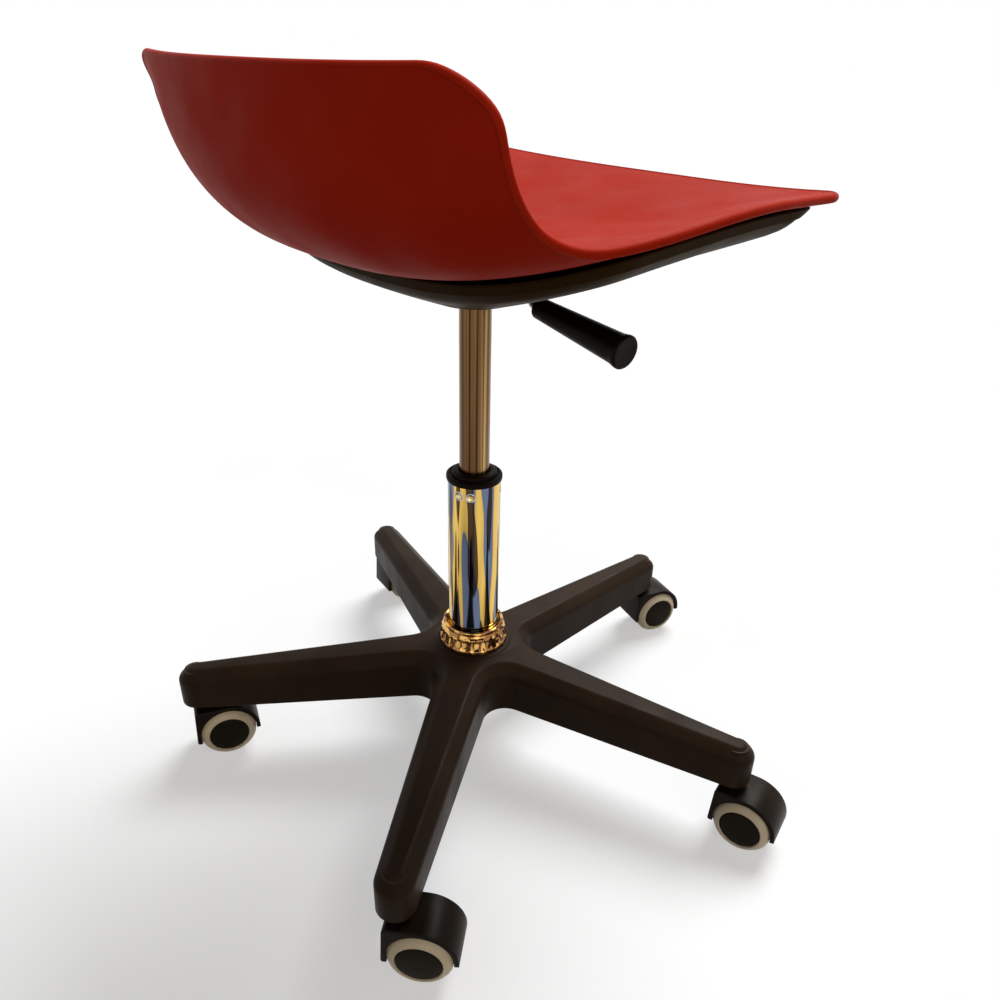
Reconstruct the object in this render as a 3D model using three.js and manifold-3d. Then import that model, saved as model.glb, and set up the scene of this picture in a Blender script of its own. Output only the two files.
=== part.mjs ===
// An adjustable swivel stool: a moulded bucket seat on a gas lift, with a lever, a five-arm base
// and twin-wheel casters.
// Millimetres, +Z up. The sitter faces -Y, so the sitter's right hand is at -X.
import * as THREE from 'three';
import { mergeVertices } from 'three/addons/utils/BufferGeometryUtils.js';
import Module from 'manifold-3d';

const wasm = await Module();
wasm.setup();

// How many flats stand for a round of each size
const flatsLarge = 28;
const flatsMiddle = 24;
const flatsHood = 18;
const flatsWheel = 16;
const flatsSmall = 12;
const flatsTiny = 8;
const cornerSteps = 2;

// Clearances and overrun that every piece shares
const clearance = 0.3;
const runningGap = 0.4;
const overrun = 1;

// Where the column stands, measured from the middle of the footprint
const columnX = 15.4;
const columnY = 44.5;

// Height of the plate that carries the seat, above the floor. What belongs to the seat is measured from it.
const plateHeight = 505;

// Seat shell: a line down its middle and a line along its rim, each a pan, a bend and a back.
// Each profile is given as distance forward of the column and rise above the plate.
const seatMiddle = {
  frontForward: 222,
  frontRise: 51,
  kneeForward: -190,
  kneeRise: 8,
  topForward: -195,
  topRise: 139,
  bendRadius: 75,
  sag: 8,
  bulge: 0,
};
const seatRim = {
  frontForward: 186,
  frontRise: 61,
  kneeForward: -144,
  kneeRise: 47,
  topForward: -163,
  topRise: 143,
  bendRadius: 71,
  sag: -7.5,
  bulge: -3,
};
const seatFrontHalf = 211;
const seatWaistHalf = 223;
const seatBendHalf = 204;
const seatTopHalf = 216;
const seatTopCorner = 51;
const seatFrontCorner = 21;
const seatWall = 5;
const seatRimWall = 7;
const seatDishPowerShare = 2.3;
const seatRisePowerShare = 2.7;
const seatSideSpreadShare = 0.86;
const seatBeadShares = [0.75, -0.75];
const seatFrontSteps = 3;
const seatPanSteps = 5;
const seatBendSteps = 7;
const seatTopSteps = 4;

// Under-seat cover: a hollow tray that hangs from the mechanism, close under the shell
const coverRearReach = 110;
const coverFrontInset = 9;
const coverSideInset = 11;
const coverRearCorner = 70;
const coverRearFullShare = 0.6;
const coverFrontCorner = 42;
const coverShadowGap = 2.5;
const coverWall = 3;
const coverLip = 11.5;
const coverFloorDrop = 35;
const coverFloorRadius = 23;
const coverSlopeShares = [0.3, 0.62, 0.95];
const coverTopShares = [0.75, 0.4];
const coverLipShare = 0.45;
const coverFrontDrawShare = 0.15;
const coverLipDrawShare = 0.35;
const coverFlats = 34;
const coverPostRadius = 5;
const coverPostAcross = 40;
const coverPostAlong = 8;

// Mounting plate, its lever ears and its screws
const plateThickness = 2.5;
const plateAcross = 130;
const plateAlong = 112;
const plateCorner = 14;
const plateFlange = 8;
const screwAcross = 104;
const screwAlong = 86;
const screwRadius = 3;
const screwHeadRadius = 6;
const screwHeadHeight = 3.6;
const screwDomeShare = 0.7;
const screwGrip = 14;
const bossRadius = 8;

// Gas lift
const cylinderRadius = 14;
const cylinderWall = 1.8;
const cylinderTaperRadius = 13.1;
const cylinderTaperDrop = 27;
const cylinderTopRise = 5;
const cylinderInTube = 80;
const socketRadius = 19;
const socketDepth = 25;
const buttonRadius = 4;
const buttonProud = 5;
const buttonHidden = 9;
const buttonTravel = 2.5;
const pistonRodRadius = 5;
const rodNeckRadius = 4;
const pistonHeight = 12;
const rodGuideHeight = 16;
const endStopGap = 2;

// Outer tube, its guide bushing and the parts at its foot
const tubeRadius = 25;
const tubeWall = 1.5;
const tubeRise = 182.6;
const tubeInHub = 63.4;
const tubeFootRadius = 23.4;
const tubeTaperDrop = 5.4;
const tubeFloor = 3;
const dimpleRadius = 2.6;
const dimpleDepth = 0.9;
const dimpleDrop = 9;
const dimplePairs = 3;
const dimpleSpreadDeg = 28;
const dimpleTurnDeg = 116;
const bushingCapRadius = 26.4;
const bushingCapHeight = 5.5;
const bushingNeckRadius = 22;
const bushingNeckHeight = 4;
const bushingDepth = 78;
const washerRadius = 14;
const washerHeight = 2;
const ballRingHeight = 4;
const ballRadius = 1.6;
const ballCount = 6;
const bumperRadius = 11;
const bumperHeight = 12;
const bumperWaistDepth = 1.8;
const clipRadius = 9;
const clipHeight = 1.6;
const clipGrooveShare = 0.75;
const rodFoot = 5;

// Collar between tube and base
const collarLipRadius = 30.4;
const collarSkirtRadius = 34.6;
const collarHeight = 24;
const collarFlangeHeight = 3;
const collarLipBead = 2.6;
const collarFacets = 16;
const collarPocketShare = 0.56;
const collarPocketDepth = 3;

// Star base
const armCount = 5;
const stemCircle = 282.4;
const armTipRadius = 16.9;
const armHubHalf = 27;
const armStandOff = 6.1;
const hubHeight = 57.8;
const armTopDropShare = 0.06;
const armChamferDrop = 9.4;
const armChamferWide = 10.8;
const armTipSteps = 6;
const armWebSteps = 4;
const webRadius = 23;
const baseWall = 4;
const baseRoof = 5;
const ribThickness = 3;
const ribHeightShare = 0.6;
const crossRibShares = [0.42, 0.7];
const hubSleeveRadius = 31;
const hubPadRadius = 36.5;
const stemSleeveRadius = 9.5;
const baseTurnDeg = 127.7;

// Casters
const wheelRadius = 27.5;
const wheelTrail = 21.5;
const wheelHalfSpan = 20.6;
const wheelWidth = 15.6;
const treadDepth = 8.2;
const treadEdge = 4.2;
const discProud = 1.2;
const axleRadius = 3;
const hoodOver = 4.5;
const hoodWheelGap = 1.2;
const hoodSideInset = 0.8;
const hoodWeb = 7;
const hoodFrontOver = 2.6;
const hoodFrontCorner = 4;
const hoodSteps = 6;
const hoodFrontFlare = 2.4;
const hoodFrontLip = 19;
const hoodRearLip = 20;
const hoodStemBoss = 8.6;
const stemRadius = 5;
const stemCollarRadius = 8;
const stemCollarHeight = 2.4;
const stemReach = 30;
const stemSink = 13;
const casterTrailDeg = [-139.3, -164.7, -106.9, -99, -109.6];

// Lever
const leverForward = 36;
const leverPivotSide = 22;
const leverRodRadius = 3.5;
const leverEyeRadius = 5.6;
const leverEyeWidth = 9;
const leverPinRadius = 2.5;
const leverPinHeadRadius = 4;
const leverEarThickness = 2.5;
const leverEarRadius = 6;
const gripInnerSide = 38;
const gripInnerDrop = 36.5;
const gripOuterSide = 138;
const gripOuterDrop = 51;
const gripInnerRadius = 9;
const gripOuterRadius = 13;
const gripFlareRadius = 14;
const gripFlareLength = 7;
const gripRodDepth = 45;
const coverSlotWidth = 24;
const coverSlotSpan = 42;
const plateSlotSpan = 30;
const leverSteps = 22;
const leverFlats = 3;

// Heights that follow from the sizes above
const cylinderTaperStart = plateHeight - cylinderTaperDrop;
const cylinderTop = plateHeight + cylinderTopRise;
const socketBottom = plateHeight - socketDepth;
const coverFloorHeight = plateHeight - coverFloorDrop;
const gripInnerHeight = plateHeight - gripInnerDrop;
const gripOuterHeight = plateHeight - gripOuterDrop;
const hoodRadius = wheelRadius + hoodOver;
const hoodHalfWidth = wheelHalfSpan - hoodSideInset;
const hoodFrontReach = wheelRadius + hoodFrontOver;
const hoodTop = wheelRadius + hoodRadius;
const armUnderTip = hoodTop + armStandOff;
const hubTop = armUnderTip + hubHeight;
const tubeTop = hubTop + tubeRise;
const tubeFootHeight = hubTop - tubeInHub;
const tubeTaperStart = hubTop - tubeTaperDrop;
const cylinderBottom = tubeTop - cylinderInTube;

// Colours
const shellMaterial = new THREE.MeshStandardMaterial({ color: 0xa63426, roughness: 0.55, metalness: 0 });
const blackPlastic = new THREE.MeshStandardMaterial({ color: 0x241a16, roughness: 0.6, metalness: 0 });
const treadMaterial = new THREE.MeshStandardMaterial({ color: 0xb59a78, roughness: 0.7, metalness: 0 });
const chrome = new THREE.MeshStandardMaterial({ color: 0xd8d4cc, roughness: 0.08, metalness: 1 });
const satinSteel = new THREE.MeshStandardMaterial({ color: 0x8d8071, roughness: 0.35, metalness: 1 });
const darkSteel = new THREE.MeshStandardMaterial({ color: 0x2b2b2d, roughness: 0.5, metalness: 0.8 });
const zincSteel = new THREE.MeshStandardMaterial({ color: 0xb9b8b0, roughness: 0.4, metalness: 1 });
const rubber = new THREE.MeshStandardMaterial({ color: 0x1c1c1c, roughness: 0.9, metalness: 0 });

const fullTurn = 360;
const radians = THREE.MathUtils.degToRad;
const lerp = THREE.MathUtils.lerp;

// Closed geometry as a solid that can be cut and joined
function solid(geometry) {
  const plain = geometry.clone();
  plain.deleteAttribute('normal');
  plain.deleteAttribute('uv');
  const merged = mergeVertices(plain);
  return new wasm.Manifold(
    new wasm.Mesh({
      numProp: 3,
      vertProperties: new Float32Array(merged.attributes.position.array),
      triVerts: new Uint32Array(merged.index.array),
    }),
  );
}

function geometryOf(made) {
  const mesh = made.getMesh();
  const geometry = new THREE.BufferGeometry();
  geometry.setAttribute('position', new THREE.BufferAttribute(mesh.vertProperties, mesh.numProp));
  geometry.setIndex(new THREE.BufferAttribute(mesh.triVerts, 1));
  const faceted = geometry.toNonIndexed();
  faceted.computeVertexNormals();
  return faceted;
}

function named(name, made, material) {
  const mesh = new THREE.Mesh(made.isBufferGeometry ? made : geometryOf(made), material);
  mesh.name = name;
  return mesh;
}

// A solid of revolution about Z from [radius, height] points, either closed on the axis or closed on itself
function turned(points, segments) {
  const onAxis = points[0][0] === 0 && points[points.length - 1][0] === 0;
  const profile = points.map(([r, z]) => new THREE.Vector2(r, z));
  if (!onAxis) profile.push(profile[0].clone());
  const geometry = new THREE.LatheGeometry(profile, segments);
  geometry.rotateX(Math.PI / 2);
  return facingOut(geometry);
}

// The same solid whichever way its profile runs
function facingOut(geometry) {
  const made = solid(geometry);
  if (made.volume() > 0) return made;
  const index = geometry.index ?? mergeVertices(geometry).index;
  const turnedIndex = Array.from(index.array);
  for (let i = 0; i < turnedIndex.length; i += 3) {
    [turnedIndex[i + 1], turnedIndex[i + 2]] = [turnedIndex[i + 2], turnedIndex[i + 1]];
  }
  const flipped = geometry.clone();
  flipped.setIndex(turnedIndex);
  return solid(flipped);
}

function pipe(inner, outer, bottom, top, segments) {
  return turned([[inner, bottom], [outer, bottom], [outer, top], [inner, top]], segments);
}

function rod(radius, bottom, top, segments) {
  return turned([[0, bottom], [radius, bottom], [radius, top], [0, top]], segments);
}

// Radius of a faceted hole whose flats clear a round of the given radius
function holeRadius(radius, flats) {
  return (radius + clearance) / Math.cos(Math.PI / flats);
}

function block(width, depth, height, x, y, z) {
  const geometry = new THREE.BoxGeometry(width, depth, height);
  geometry.translate(x, y, z);
  return solid(geometry);
}

// A straight-sided solid from a flat shape
function prism(shape, bottom, height, curveSegments) {
  const geometry = new THREE.ExtrudeGeometry(shape, { depth: height, bevelEnabled: false, curveSegments });
  geometry.translate(0, 0, bottom);
  return solid(geometry);
}

function union(pieces) {
  return pieces.reduce((whole, piece) => whole.add(piece));
}

// A closed solid from rings of points, each ring with as many points, with its first and last ring capped
function loft(rings) {
  const count = rings[0].length;
  const positions = rings.flat().flatMap((p) => [p.x, p.y, p.z]);
  const index = [];
  for (let i = 0; i + 1 < rings.length; i += 1) {
    for (let j = 0; j < count; j += 1) {
      const next = (j + 1) % count;
      const a = i * count + j;
      const b = i * count + next;
      index.push(a, b, b + count, a, b + count, a + count);
    }
  }
  const last = (rings.length - 1) * count;
  const cap = (ring) => THREE.ShapeUtils.triangulateShape(ring.map((p) => new THREE.Vector2(p.x, p.y)), []);
  cap(rings[0]).forEach(([a, b, c]) => index.push(a, c, b));
  cap(rings[rings.length - 1]).forEach(([a, b, c]) => index.push(last + a, last + b, last + c));
  const geometry = new THREE.BufferGeometry();
  geometry.setAttribute('position', new THREE.Float32BufferAttribute(positions, 3));
  geometry.setIndex(index);
  return geometry;
}

// Seat profile: a straight pan, a bend tangent to it and a straight back
function profileOf(line) {
  const front = new THREE.Vector2(line.frontForward, plateHeight + line.frontRise);
  const knee = new THREE.Vector2(line.kneeForward, plateHeight + line.kneeRise);
  const top = new THREE.Vector2(line.topForward, plateHeight + line.topRise);
  const toFront = front.clone().sub(knee).normalize();
  const toTop = top.clone().sub(knee).normalize();
  const half = Math.acos(toFront.dot(toTop)) / 2;
  const tangent = line.bendRadius / Math.tan(half);
  const bendStart = knee.clone().addScaledVector(toFront, tangent);
  const bendEnd = knee.clone().addScaledVector(toTop, tangent);
  const bisector = toFront.clone().add(toTop).normalize();
  const centre = knee.clone().addScaledVector(bisector, line.bendRadius / Math.sin(half));
  const startAngle = Math.atan2(bendStart.y - centre.y, bendStart.x - centre.x);
  const sweep = Math.PI - 2 * half;
  return {
    panLength: front.distanceTo(bendStart),
    bendLength: line.bendRadius * sweep,
    backLength: bendEnd.distanceTo(top),
    at(stage) {
      if (stage <= 1) {
        const p = front.clone().lerp(bendStart, stage);
        p.y -= line.sag * Math.sin(Math.PI * stage) ** 2;
        return p;
      }
      if (stage <= 2) {
        const angle = startAngle - sweep * (stage - 1);
        const arm = new THREE.Vector2(Math.cos(angle), Math.sin(angle));
        return arm.multiplyScalar(line.bendRadius).add(centre);
      }
      const p = bendEnd.clone().lerp(top, stage - 2);
      p.x -= line.bulge * Math.sin(Math.PI * (stage - 2)) ** 2;
      return p;
    },
  };
}

const middleProfile = profileOf(seatMiddle);
const rimProfile = profileOf(seatRim);

// Stages at the middle of the bend and at the top of the back, and the step that finds a normal
const bendStageShare = 1.5;
const topStageShare = 3;
const normalStepShare = 1e-3;

// Half the width of the seat at a stage of its profile, before its corners are rounded
function seatHalf(stage) {
  const waist = (rimProfile.panLength + rimProfile.bendLength / 2) / (2 * rimProfile.panLength);
  const stages = [0, waist, bendStageShare, topStageShare];
  const halves = [seatFrontHalf, seatWaistHalf, seatBendHalf, seatTopHalf];
  const i = stage < stages[1] ? 0 : stage < stages[2] ? 1 : 2;
  const share = (stage - stages[i]) / (stages[i + 1] - stages[i]);
  return lerp(halves[i], halves[i + 1], (1 - Math.cos(Math.PI * share)) / 2);
}

// Half the width after the front and top corners are rounded
function seatEdge(stage) {
  const fromFront = stage * rimProfile.panLength;
  const fromTop = (topStageShare - stage) * rimProfile.backLength;
  const inFront = Math.max(0, 1 - fromFront / seatFrontCorner);
  const inTop = Math.max(0, 1 - fromTop / seatTopCorner);
  const lost = (radius, share) => radius * (1 - Math.sqrt(1 - Math.min(1, share) ** 2));
  return seatHalf(stage) - lost(seatFrontCorner, inFront) - lost(seatTopCorner, inTop);
}

// A point on the middle surface of the shell: stage along the profile, and side from -1 to 1 across it
function seatPoint(stage, side) {
  const middle = middleProfile.at(stage);
  const rim = rimProfile.at(stage);
  const half = seatEdge(stage);
  const share = Math.abs(side) * Math.min(1, half / seatHalf(stage));
  const forward = lerp(middle.x, rim.x, share ** seatDishPowerShare);
  const height = lerp(middle.y, rim.y, share ** seatRisePowerShare);
  return new THREE.Vector3(half * side, -forward, height);
}

// The unit normal there, on the sitter's side
function seatNormal(stage, side) {
  const step = normalStepShare;
  const s = THREE.MathUtils.clamp(stage, step, topStageShare - step);
  const t = THREE.MathUtils.clamp(side, step - 1, 1 - step);
  const along = seatPoint(s + step, t).sub(seatPoint(s - step, t));
  const across = seatPoint(s, t + step).sub(seatPoint(s, t - step));
  return across.cross(along).normalize();
}

// Height of the shell's middle surface above a place in plan, over the pan and the bend
function seatHeightAt(x, y) {
  let low = 0;
  let high = 2;
  let point = null;
  for (let i = 0; i < 30; i += 1) {
    const stage = (low + high) / 2;
    const side = THREE.MathUtils.clamp(x / seatEdge(stage), -1, 1);
    point = seatPoint(stage, side);
    if (point.y < y) low = stage;
    else high = stage;
  }
  return point.z;
}

// Stages and sides of the shell's grid, closer together at its corners and its bend
function seatStages() {
  const front = seatFrontCorner / rimProfile.panLength;
  const top = seatTopCorner / rimProfile.backLength;
  const cornerStart = Math.max(2, topStageShare - top);
  const firstTurn = Math.asin(1 - (topStageShare - cornerStart) / top);
  const even = (from, to, count) =>
    Array.from({ length: count }, (_, i) => lerp(from, to, (i + 1) / count));
  return [
    0,
    ...even(0, Math.PI / 2, seatFrontSteps).map((turn) => front * (1 - Math.cos(turn))),
    ...even(front, 1, seatPanSteps),
    ...even(1, 2, seatBendSteps),
    ...(cornerStart > 2 ? [cornerStart] : []),
    ...even(firstTurn, Math.PI / 2, seatTopSteps).map((turn) => topStageShare - top * (1 - Math.sin(turn))),
  ];
}

function seatShell() {
  const stages = seatStages();
  const columns = flatsLarge / 2;
  const spread = (share) => Math.sin((Math.PI / 2) * seatSideSpreadShare * share);
  const sides = Array.from({ length: columns + 1 }, (_, j) => spread((2 * j) / columns - 1) / spread(1));
  const positions = [];
  const index = [];
  const add = (p) => positions.push(p.x, p.y, p.z) / 3 - 1;
  const offsetPoint = (stage, side, offset) =>
    seatPoint(stage, side).addScaledVector(seatNormal(stage, side), offset);
  const sheet = (offset) =>
    stages.map((stage) => sides.map((side) => add(offsetPoint(stage, side, offset))));
  const upper = sheet(seatWall / 2);
  const lower = sheet(-seatWall / 2);
  const quad = (a, b, c, d) => index.push(a, b, c, a, c, d);
  for (let i = 0; i + 1 < stages.length; i += 1) {
    for (let j = 0; j < columns; j += 1) {
      quad(upper[i][j], upper[i][j + 1], upper[i + 1][j + 1], upper[i + 1][j]);
      quad(lower[i][j], lower[i + 1][j], lower[i + 1][j + 1], lower[i][j + 1]);
    }
  }
  // The rim runs once round the grid, with a round bead of the rim's own thickness
  const last = stages.length - 1;
  const loop = [];
  for (let j = 0; j < columns; j += 1) loop.push([0, j]);
  for (let i = 0; i < last; i += 1) loop.push([i, columns]);
  for (let j = columns; j > 0; j -= 1) loop.push([last, j]);
  for (let i = last; i > 0; i -= 1) loop.push([i, 0]);
  const place = ([i, j]) => seatPoint(stages[i], sides[j]);
  const bead = loop.map((cell, n) => {
    const before = place(loop[(n + loop.length - 1) % loop.length]);
    const after = place(loop[(n + 1) % loop.length]);
    const normal = seatNormal(stages[cell[0]], sides[cell[1]]);
    const outward = after.sub(before).normalize().cross(normal).normalize();
    return seatBeadShares.map((share) =>
      add(
        place(cell)
          .addScaledVector(normal, (share * seatRimWall) / 2)
          .addScaledVector(outward, (Math.sqrt(1 - share * share) * seatRimWall) / 2),
      ),
    );
  });
  loop.forEach(([i, j], n) => {
    const [p, q] = loop[(n + 1) % loop.length];
    const here = [upper[i][j], ...bead[n], lower[i][j]];
    const next = [upper[p][q], ...bead[(n + 1) % loop.length], lower[p][q]];
    for (let k = 0; k + 1 < here.length; k += 1) quad(here[k], here[k + 1], next[k + 1], next[k]);
  });
  const geometry = new THREE.BufferGeometry();
  geometry.setAttribute('position', new THREE.Float32BufferAttribute(positions, 3));
  geometry.setIndex(index);
  const foot = plateHeight + plateThickness + clearance;
  const bosses = screwPlaces().map(([x, y]) => {
    const boss = rod(bossRadius, foot, seatHeightAt(x, y), flatsTiny);
    const bore = rod(screwRadius + clearance, foot - overrun, foot + screwGrip + clearance, flatsTiny);
    return boss.subtract(bore).translate([x, y, 0]);
  });
  return union([solid(geometry), ...bosses]);
}

function screwPlaces() {
  return [-1, 1].flatMap((a) => [-1, 1].map((b) => [(a * screwAcross) / 2, (b * screwAlong) / 2]));
}

// Plan outline of the cover: straight sides under the rim, rounded corners, and a bowed rear
function coverOutline(inset) {
  const half = (seatWaistHalf + seatFrontHalf) / 2 - coverSideInset - inset;
  const front = -(seatRim.frontForward - coverFrontInset - inset);
  const rear = coverRearReach - inset;
  const frontCorner = coverFrontCorner - inset;
  const cornerEnd = rear - coverRearCorner;
  const cornerPull = rear - coverRearCorner / 4;
  const shape = new THREE.Shape();
  shape.moveTo(-half + frontCorner, front);
  shape.lineTo(half - frontCorner, front);
  shape.quadraticCurveTo(half, front, half, front + frontCorner);
  shape.lineTo(half, cornerEnd);
  shape.bezierCurveTo(half, cornerPull, half * coverRearFullShare, rear, 0, rear);
  shape.bezierCurveTo(-half * coverRearFullShare, rear, -half, cornerPull, -half, cornerEnd);
  shape.lineTo(-half, front + frontCorner);
  shape.quadraticCurveTo(-half, front, -half + frontCorner, front);
  const points = shape.getSpacedPoints(coverFlats);
  points.pop();
  return points;
}

// The space under the shell down to the cover's underside, drawn in by a wall where it is the hollow.
// Its front leans back from the lip down.
function coverBody(wall) {
  const outline = coverOutline(wall);
  const under = (x, y) => seatHeightAt(x, y) - seatWall / 2 - coverShadowGap;
  const floor = coverFloorHeight + wall;
  const reach = seatRim.frontForward - coverFrontInset;
  const drawn = (y, amount) => y * (1 - amount * coverFrontDrawShare * Math.max(0, -y / reach) ** 2);
  const ring = (share, heightOf, amount = 0) =>
    outline.map((p) => new THREE.Vector3(p.x * share, drawn(p.y, amount) * share, heightOf(p, share)));
  const lipHeight = (p) => under(p.x, p.y) - coverLip + wall;
  const floorShare = (p) => coverFloorRadius / Math.hypot(p.x, p.y);
  const slope = (p, share) => lerp(lipHeight(p), floor, Math.min(1, (1 - share) / (1 - floorShare(p))));
  const floorRing = outline.map((p) => new THREE.Vector3(p.x * floorShare(p), p.y * floorShare(p), floor));
  const rise = wall > 0 ? coverLip : 0;
  const rings = [
    floorRing,
    ...coverSlopeShares.map((share) => ring(share, slope, share ** 2)),
    ring(1, (p) => lerp(lipHeight(p), under(p.x, p.y), coverLipShare), coverLipDrawShare),
    ring(1, (p) => under(p.x, p.y) + rise),
    ...coverTopShares.map((share) => ring(share, (p) => under(p.x * share, p.y * share) + rise)),
  ];
  return solid(loft(rings));
}

function underCover() {
  const hole = socketRadius + runningGap;
  const slot = block(
    coverSlotSpan,
    coverSlotWidth,
    2 * (plateHeight - coverFloorHeight),
    -(leverPivotSide + coverSlotSpan / 2 - leverRodRadius * 2),
    -leverForward,
    coverFloorHeight,
  );
  const posts = [-1, 1].flatMap((a) =>
    [-1, 1].map((b) =>
      rod(coverPostRadius, coverFloorHeight, plateHeight - clearance, flatsTiny).translate([
        a * coverPostAcross,
        b * coverPostAlong,
        0,
      ]),
    ),
  );
  const outside = coverBody(0);
  const tray = outside.subtract(coverBody(coverWall));
  const screwRoom = screwPlaces().map(([x, y]) =>
    rod(
      screwHeadRadius + runningGap,
      plateHeight - screwHeadHeight - 2 * runningGap,
      plateHeight + plateThickness + screwGrip,
      flatsSmall,
    ).translate([x, y, 0]),
  );
  return union([tray, union(posts).intersect(outside)])
    .subtract(rod(hole, coverFloorHeight - overrun, plateHeight, flatsMiddle))
    .subtract(union(screwRoom))
    .subtract(slot);
}

function roundedRectangle(width, depth, corner) {
  const x = width / 2;
  const y = depth / 2;
  const shape = new THREE.Shape();
  shape.moveTo(-x + corner, -y);
  shape.lineTo(x - corner, -y);
  shape.absarc(x - corner, -y + corner, corner, -Math.PI / 2, 0, false);
  shape.lineTo(x, y - corner);
  shape.absarc(x - corner, y - corner, corner, 0, Math.PI / 2, false);
  shape.lineTo(-x + corner, y);
  shape.absarc(-x + corner, y - corner, corner, Math.PI / 2, Math.PI, false);
  shape.lineTo(-x, -y + corner);
  shape.absarc(-x + corner, -y + corner, corner, Math.PI, 1.5 * Math.PI, false);
  return shape;
}

// Height of the lever's pivot: its rod lies just above the raised button
const leverPivotHeight = cylinderTop + buttonProud + clearance + leverRodRadius;

// Pressed plate with turned-down edges and two ears for the lever's pin
function mountingPlate() {
  const top = plateHeight + plateThickness;
  const plan = roundedRectangle(plateAcross, plateAlong, plateCorner);
  const outer = prism(plan, top - plateFlange, plateFlange, cornerSteps);
  const inner = prism(
    roundedRectangle(
      plateAcross - 2 * plateThickness,
      plateAlong - 2 * plateThickness,
      plateCorner - plateThickness,
    ),
    top - plateFlange - overrun,
    plateFlange + overrun - plateThickness,
    cornerSteps,
  );
  const holes = screwPlaces().map(([x, y]) =>
    rod(screwRadius + clearance, plateHeight - overrun, top + overrun, flatsTiny).translate([x, y, 0]),
  );
  const earOffset = leverEyeWidth / 2 + clearance + leverEarThickness / 2;
  const ears = [-1, 1].map((side) => leverEar(-leverForward + side * earOffset, plateHeight));
  const rodSlot = block(
    plateSlotSpan,
    leverEyeWidth + 2 * clearance,
    plateFlange * 2,
    -(leverPivotSide + plateSlotSpan / 2 - leverEyeRadius - runningGap * 2),
    -leverForward,
    plateHeight,
  );
  const pinHole = rod(leverPinRadius + clearance, -leverEyeWidth * 2, leverEyeWidth * 2, flatsTiny)
    .rotate([90, 0, 0])
    .translate([-leverPivotSide, -leverForward, leverPivotHeight]);
  return union([outer.subtract(inner), ...ears])
    .subtract(rod(socketRadius + clearance, plateHeight - overrun, top + overrun, flatsMiddle))
    .subtract(union(holes))
    .subtract(rodSlot)
    .subtract(pinHole);
}

function leverEar(y, bottom) {
  const ear = new THREE.Shape();
  ear.moveTo(-leverEarRadius, 0);
  ear.lineTo(leverEarRadius, 0);
  ear.lineTo(leverEarRadius, leverPivotHeight - bottom);
  ear.absarc(0, leverPivotHeight - bottom, leverEarRadius, 0, Math.PI, false);
  return prism(ear, -leverEarThickness / 2, leverEarThickness, 2 * cornerSteps)
    .rotate([90, 0, 0])
    .translate([-leverPivotSide, y, bottom]);
}

function taperSocket() {
  const taperAt = (z) => taperRadiusAt(z) + clearance;
  const top = plateHeight + plateThickness;
  const profile = [
    [taperAt(socketBottom), socketBottom],
    [socketRadius, socketBottom],
    [socketRadius, top],
    [taperAt(top), top],
  ];
  return turned(profile, flatsMiddle);
}

function taperRadiusAt(z) {
  const share = (z - cylinderTaperStart) / (cylinderTop - cylinderTaperStart);
  return lerp(cylinderRadius, cylinderTaperRadius, share);
}

function gasCylinder() {
  const bore = cylinderRadius - cylinderWall;
  const boreTop = cylinderTaperStart - cylinderRadius;
  const pinBottom = cylinderTop - buttonHidden - buttonTravel;
  return turned(
    [
      [bore, cylinderBottom],
      [cylinderRadius, cylinderBottom],
      [cylinderRadius, cylinderTaperStart],
      [cylinderTaperRadius, cylinderTop],
      [buttonRadius + clearance, cylinderTop],
      [buttonRadius + clearance, pinBottom],
      [0, pinBottom],
      [0, boreTop],
      [bore, boreTop],
    ],
    flatsMiddle,
  );
}

function releaseButton() {
  const top = cylinderTop + buttonProud;
  const chamfer = buttonRadius / 4;
  const profile = [
    [0, cylinderTop - buttonHidden],
    [buttonRadius, cylinderTop - buttonHidden],
    [buttonRadius, top - chamfer],
    [buttonRadius - chamfer, top],
    [0, top],
  ];
  return turned(profile, flatsSmall);
}

function rodGuide() {
  const outer = cylinderRadius - cylinderWall - clearance;
  const top = cylinderBottom + rodGuideHeight;
  return pipe(pistonRodRadius + clearance, outer, cylinderBottom, top, flatsSmall);
}

const pistonBottom = cylinderBottom + rodGuideHeight + endStopGap;
const tubeFloorTop = tubeFootHeight + tubeFloor;
const lowerWasherBottom = tubeFloorTop + clearance;
const ballRingBottom = lowerWasherBottom + washerHeight + clearance;
const upperWasherBottom = ballRingBottom + ballRingHeight + clearance;
const bumperBottom = upperWasherBottom + washerHeight + clearance;

function pistonRod() {
  const clipTop = tubeFootHeight - clearance;
  const clipBottom = clipTop - clipHeight;
  const groove = rodNeckRadius * clipGrooveShare;
  return turned(
    [
      [0, clipBottom - rodFoot],
      [rodNeckRadius, clipBottom - rodFoot],
      [rodNeckRadius, clipBottom - clearance],
      [groove, clipBottom - clearance],
      [groove, clipTop + clearance],
      [rodNeckRadius, clipTop + clearance],
      [rodNeckRadius, bumperBottom],
      [pistonRodRadius, bumperBottom],
      [pistonRodRadius, pistonBottom + pistonHeight],
      [0, pistonBottom + pistonHeight],
    ],
    flatsSmall,
  );
}

function retainingClip() {
  const clipTop = tubeFootHeight - clearance;
  const inner = holeRadius(rodNeckRadius * clipGrooveShare, flatsSmall);
  const ring = pipe(inner, clipRadius, clipTop - clipHeight, clipTop, flatsSmall);
  const reach = clipRadius + overrun;
  const mouth = block(
    rodNeckRadius,
    reach,
    clipHeight * 2,
    0,
    -(reach + rodNeckRadius) / 2,
    clipTop - clipHeight / 2,
  );
  return ring.subtract(mouth);
}

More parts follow.
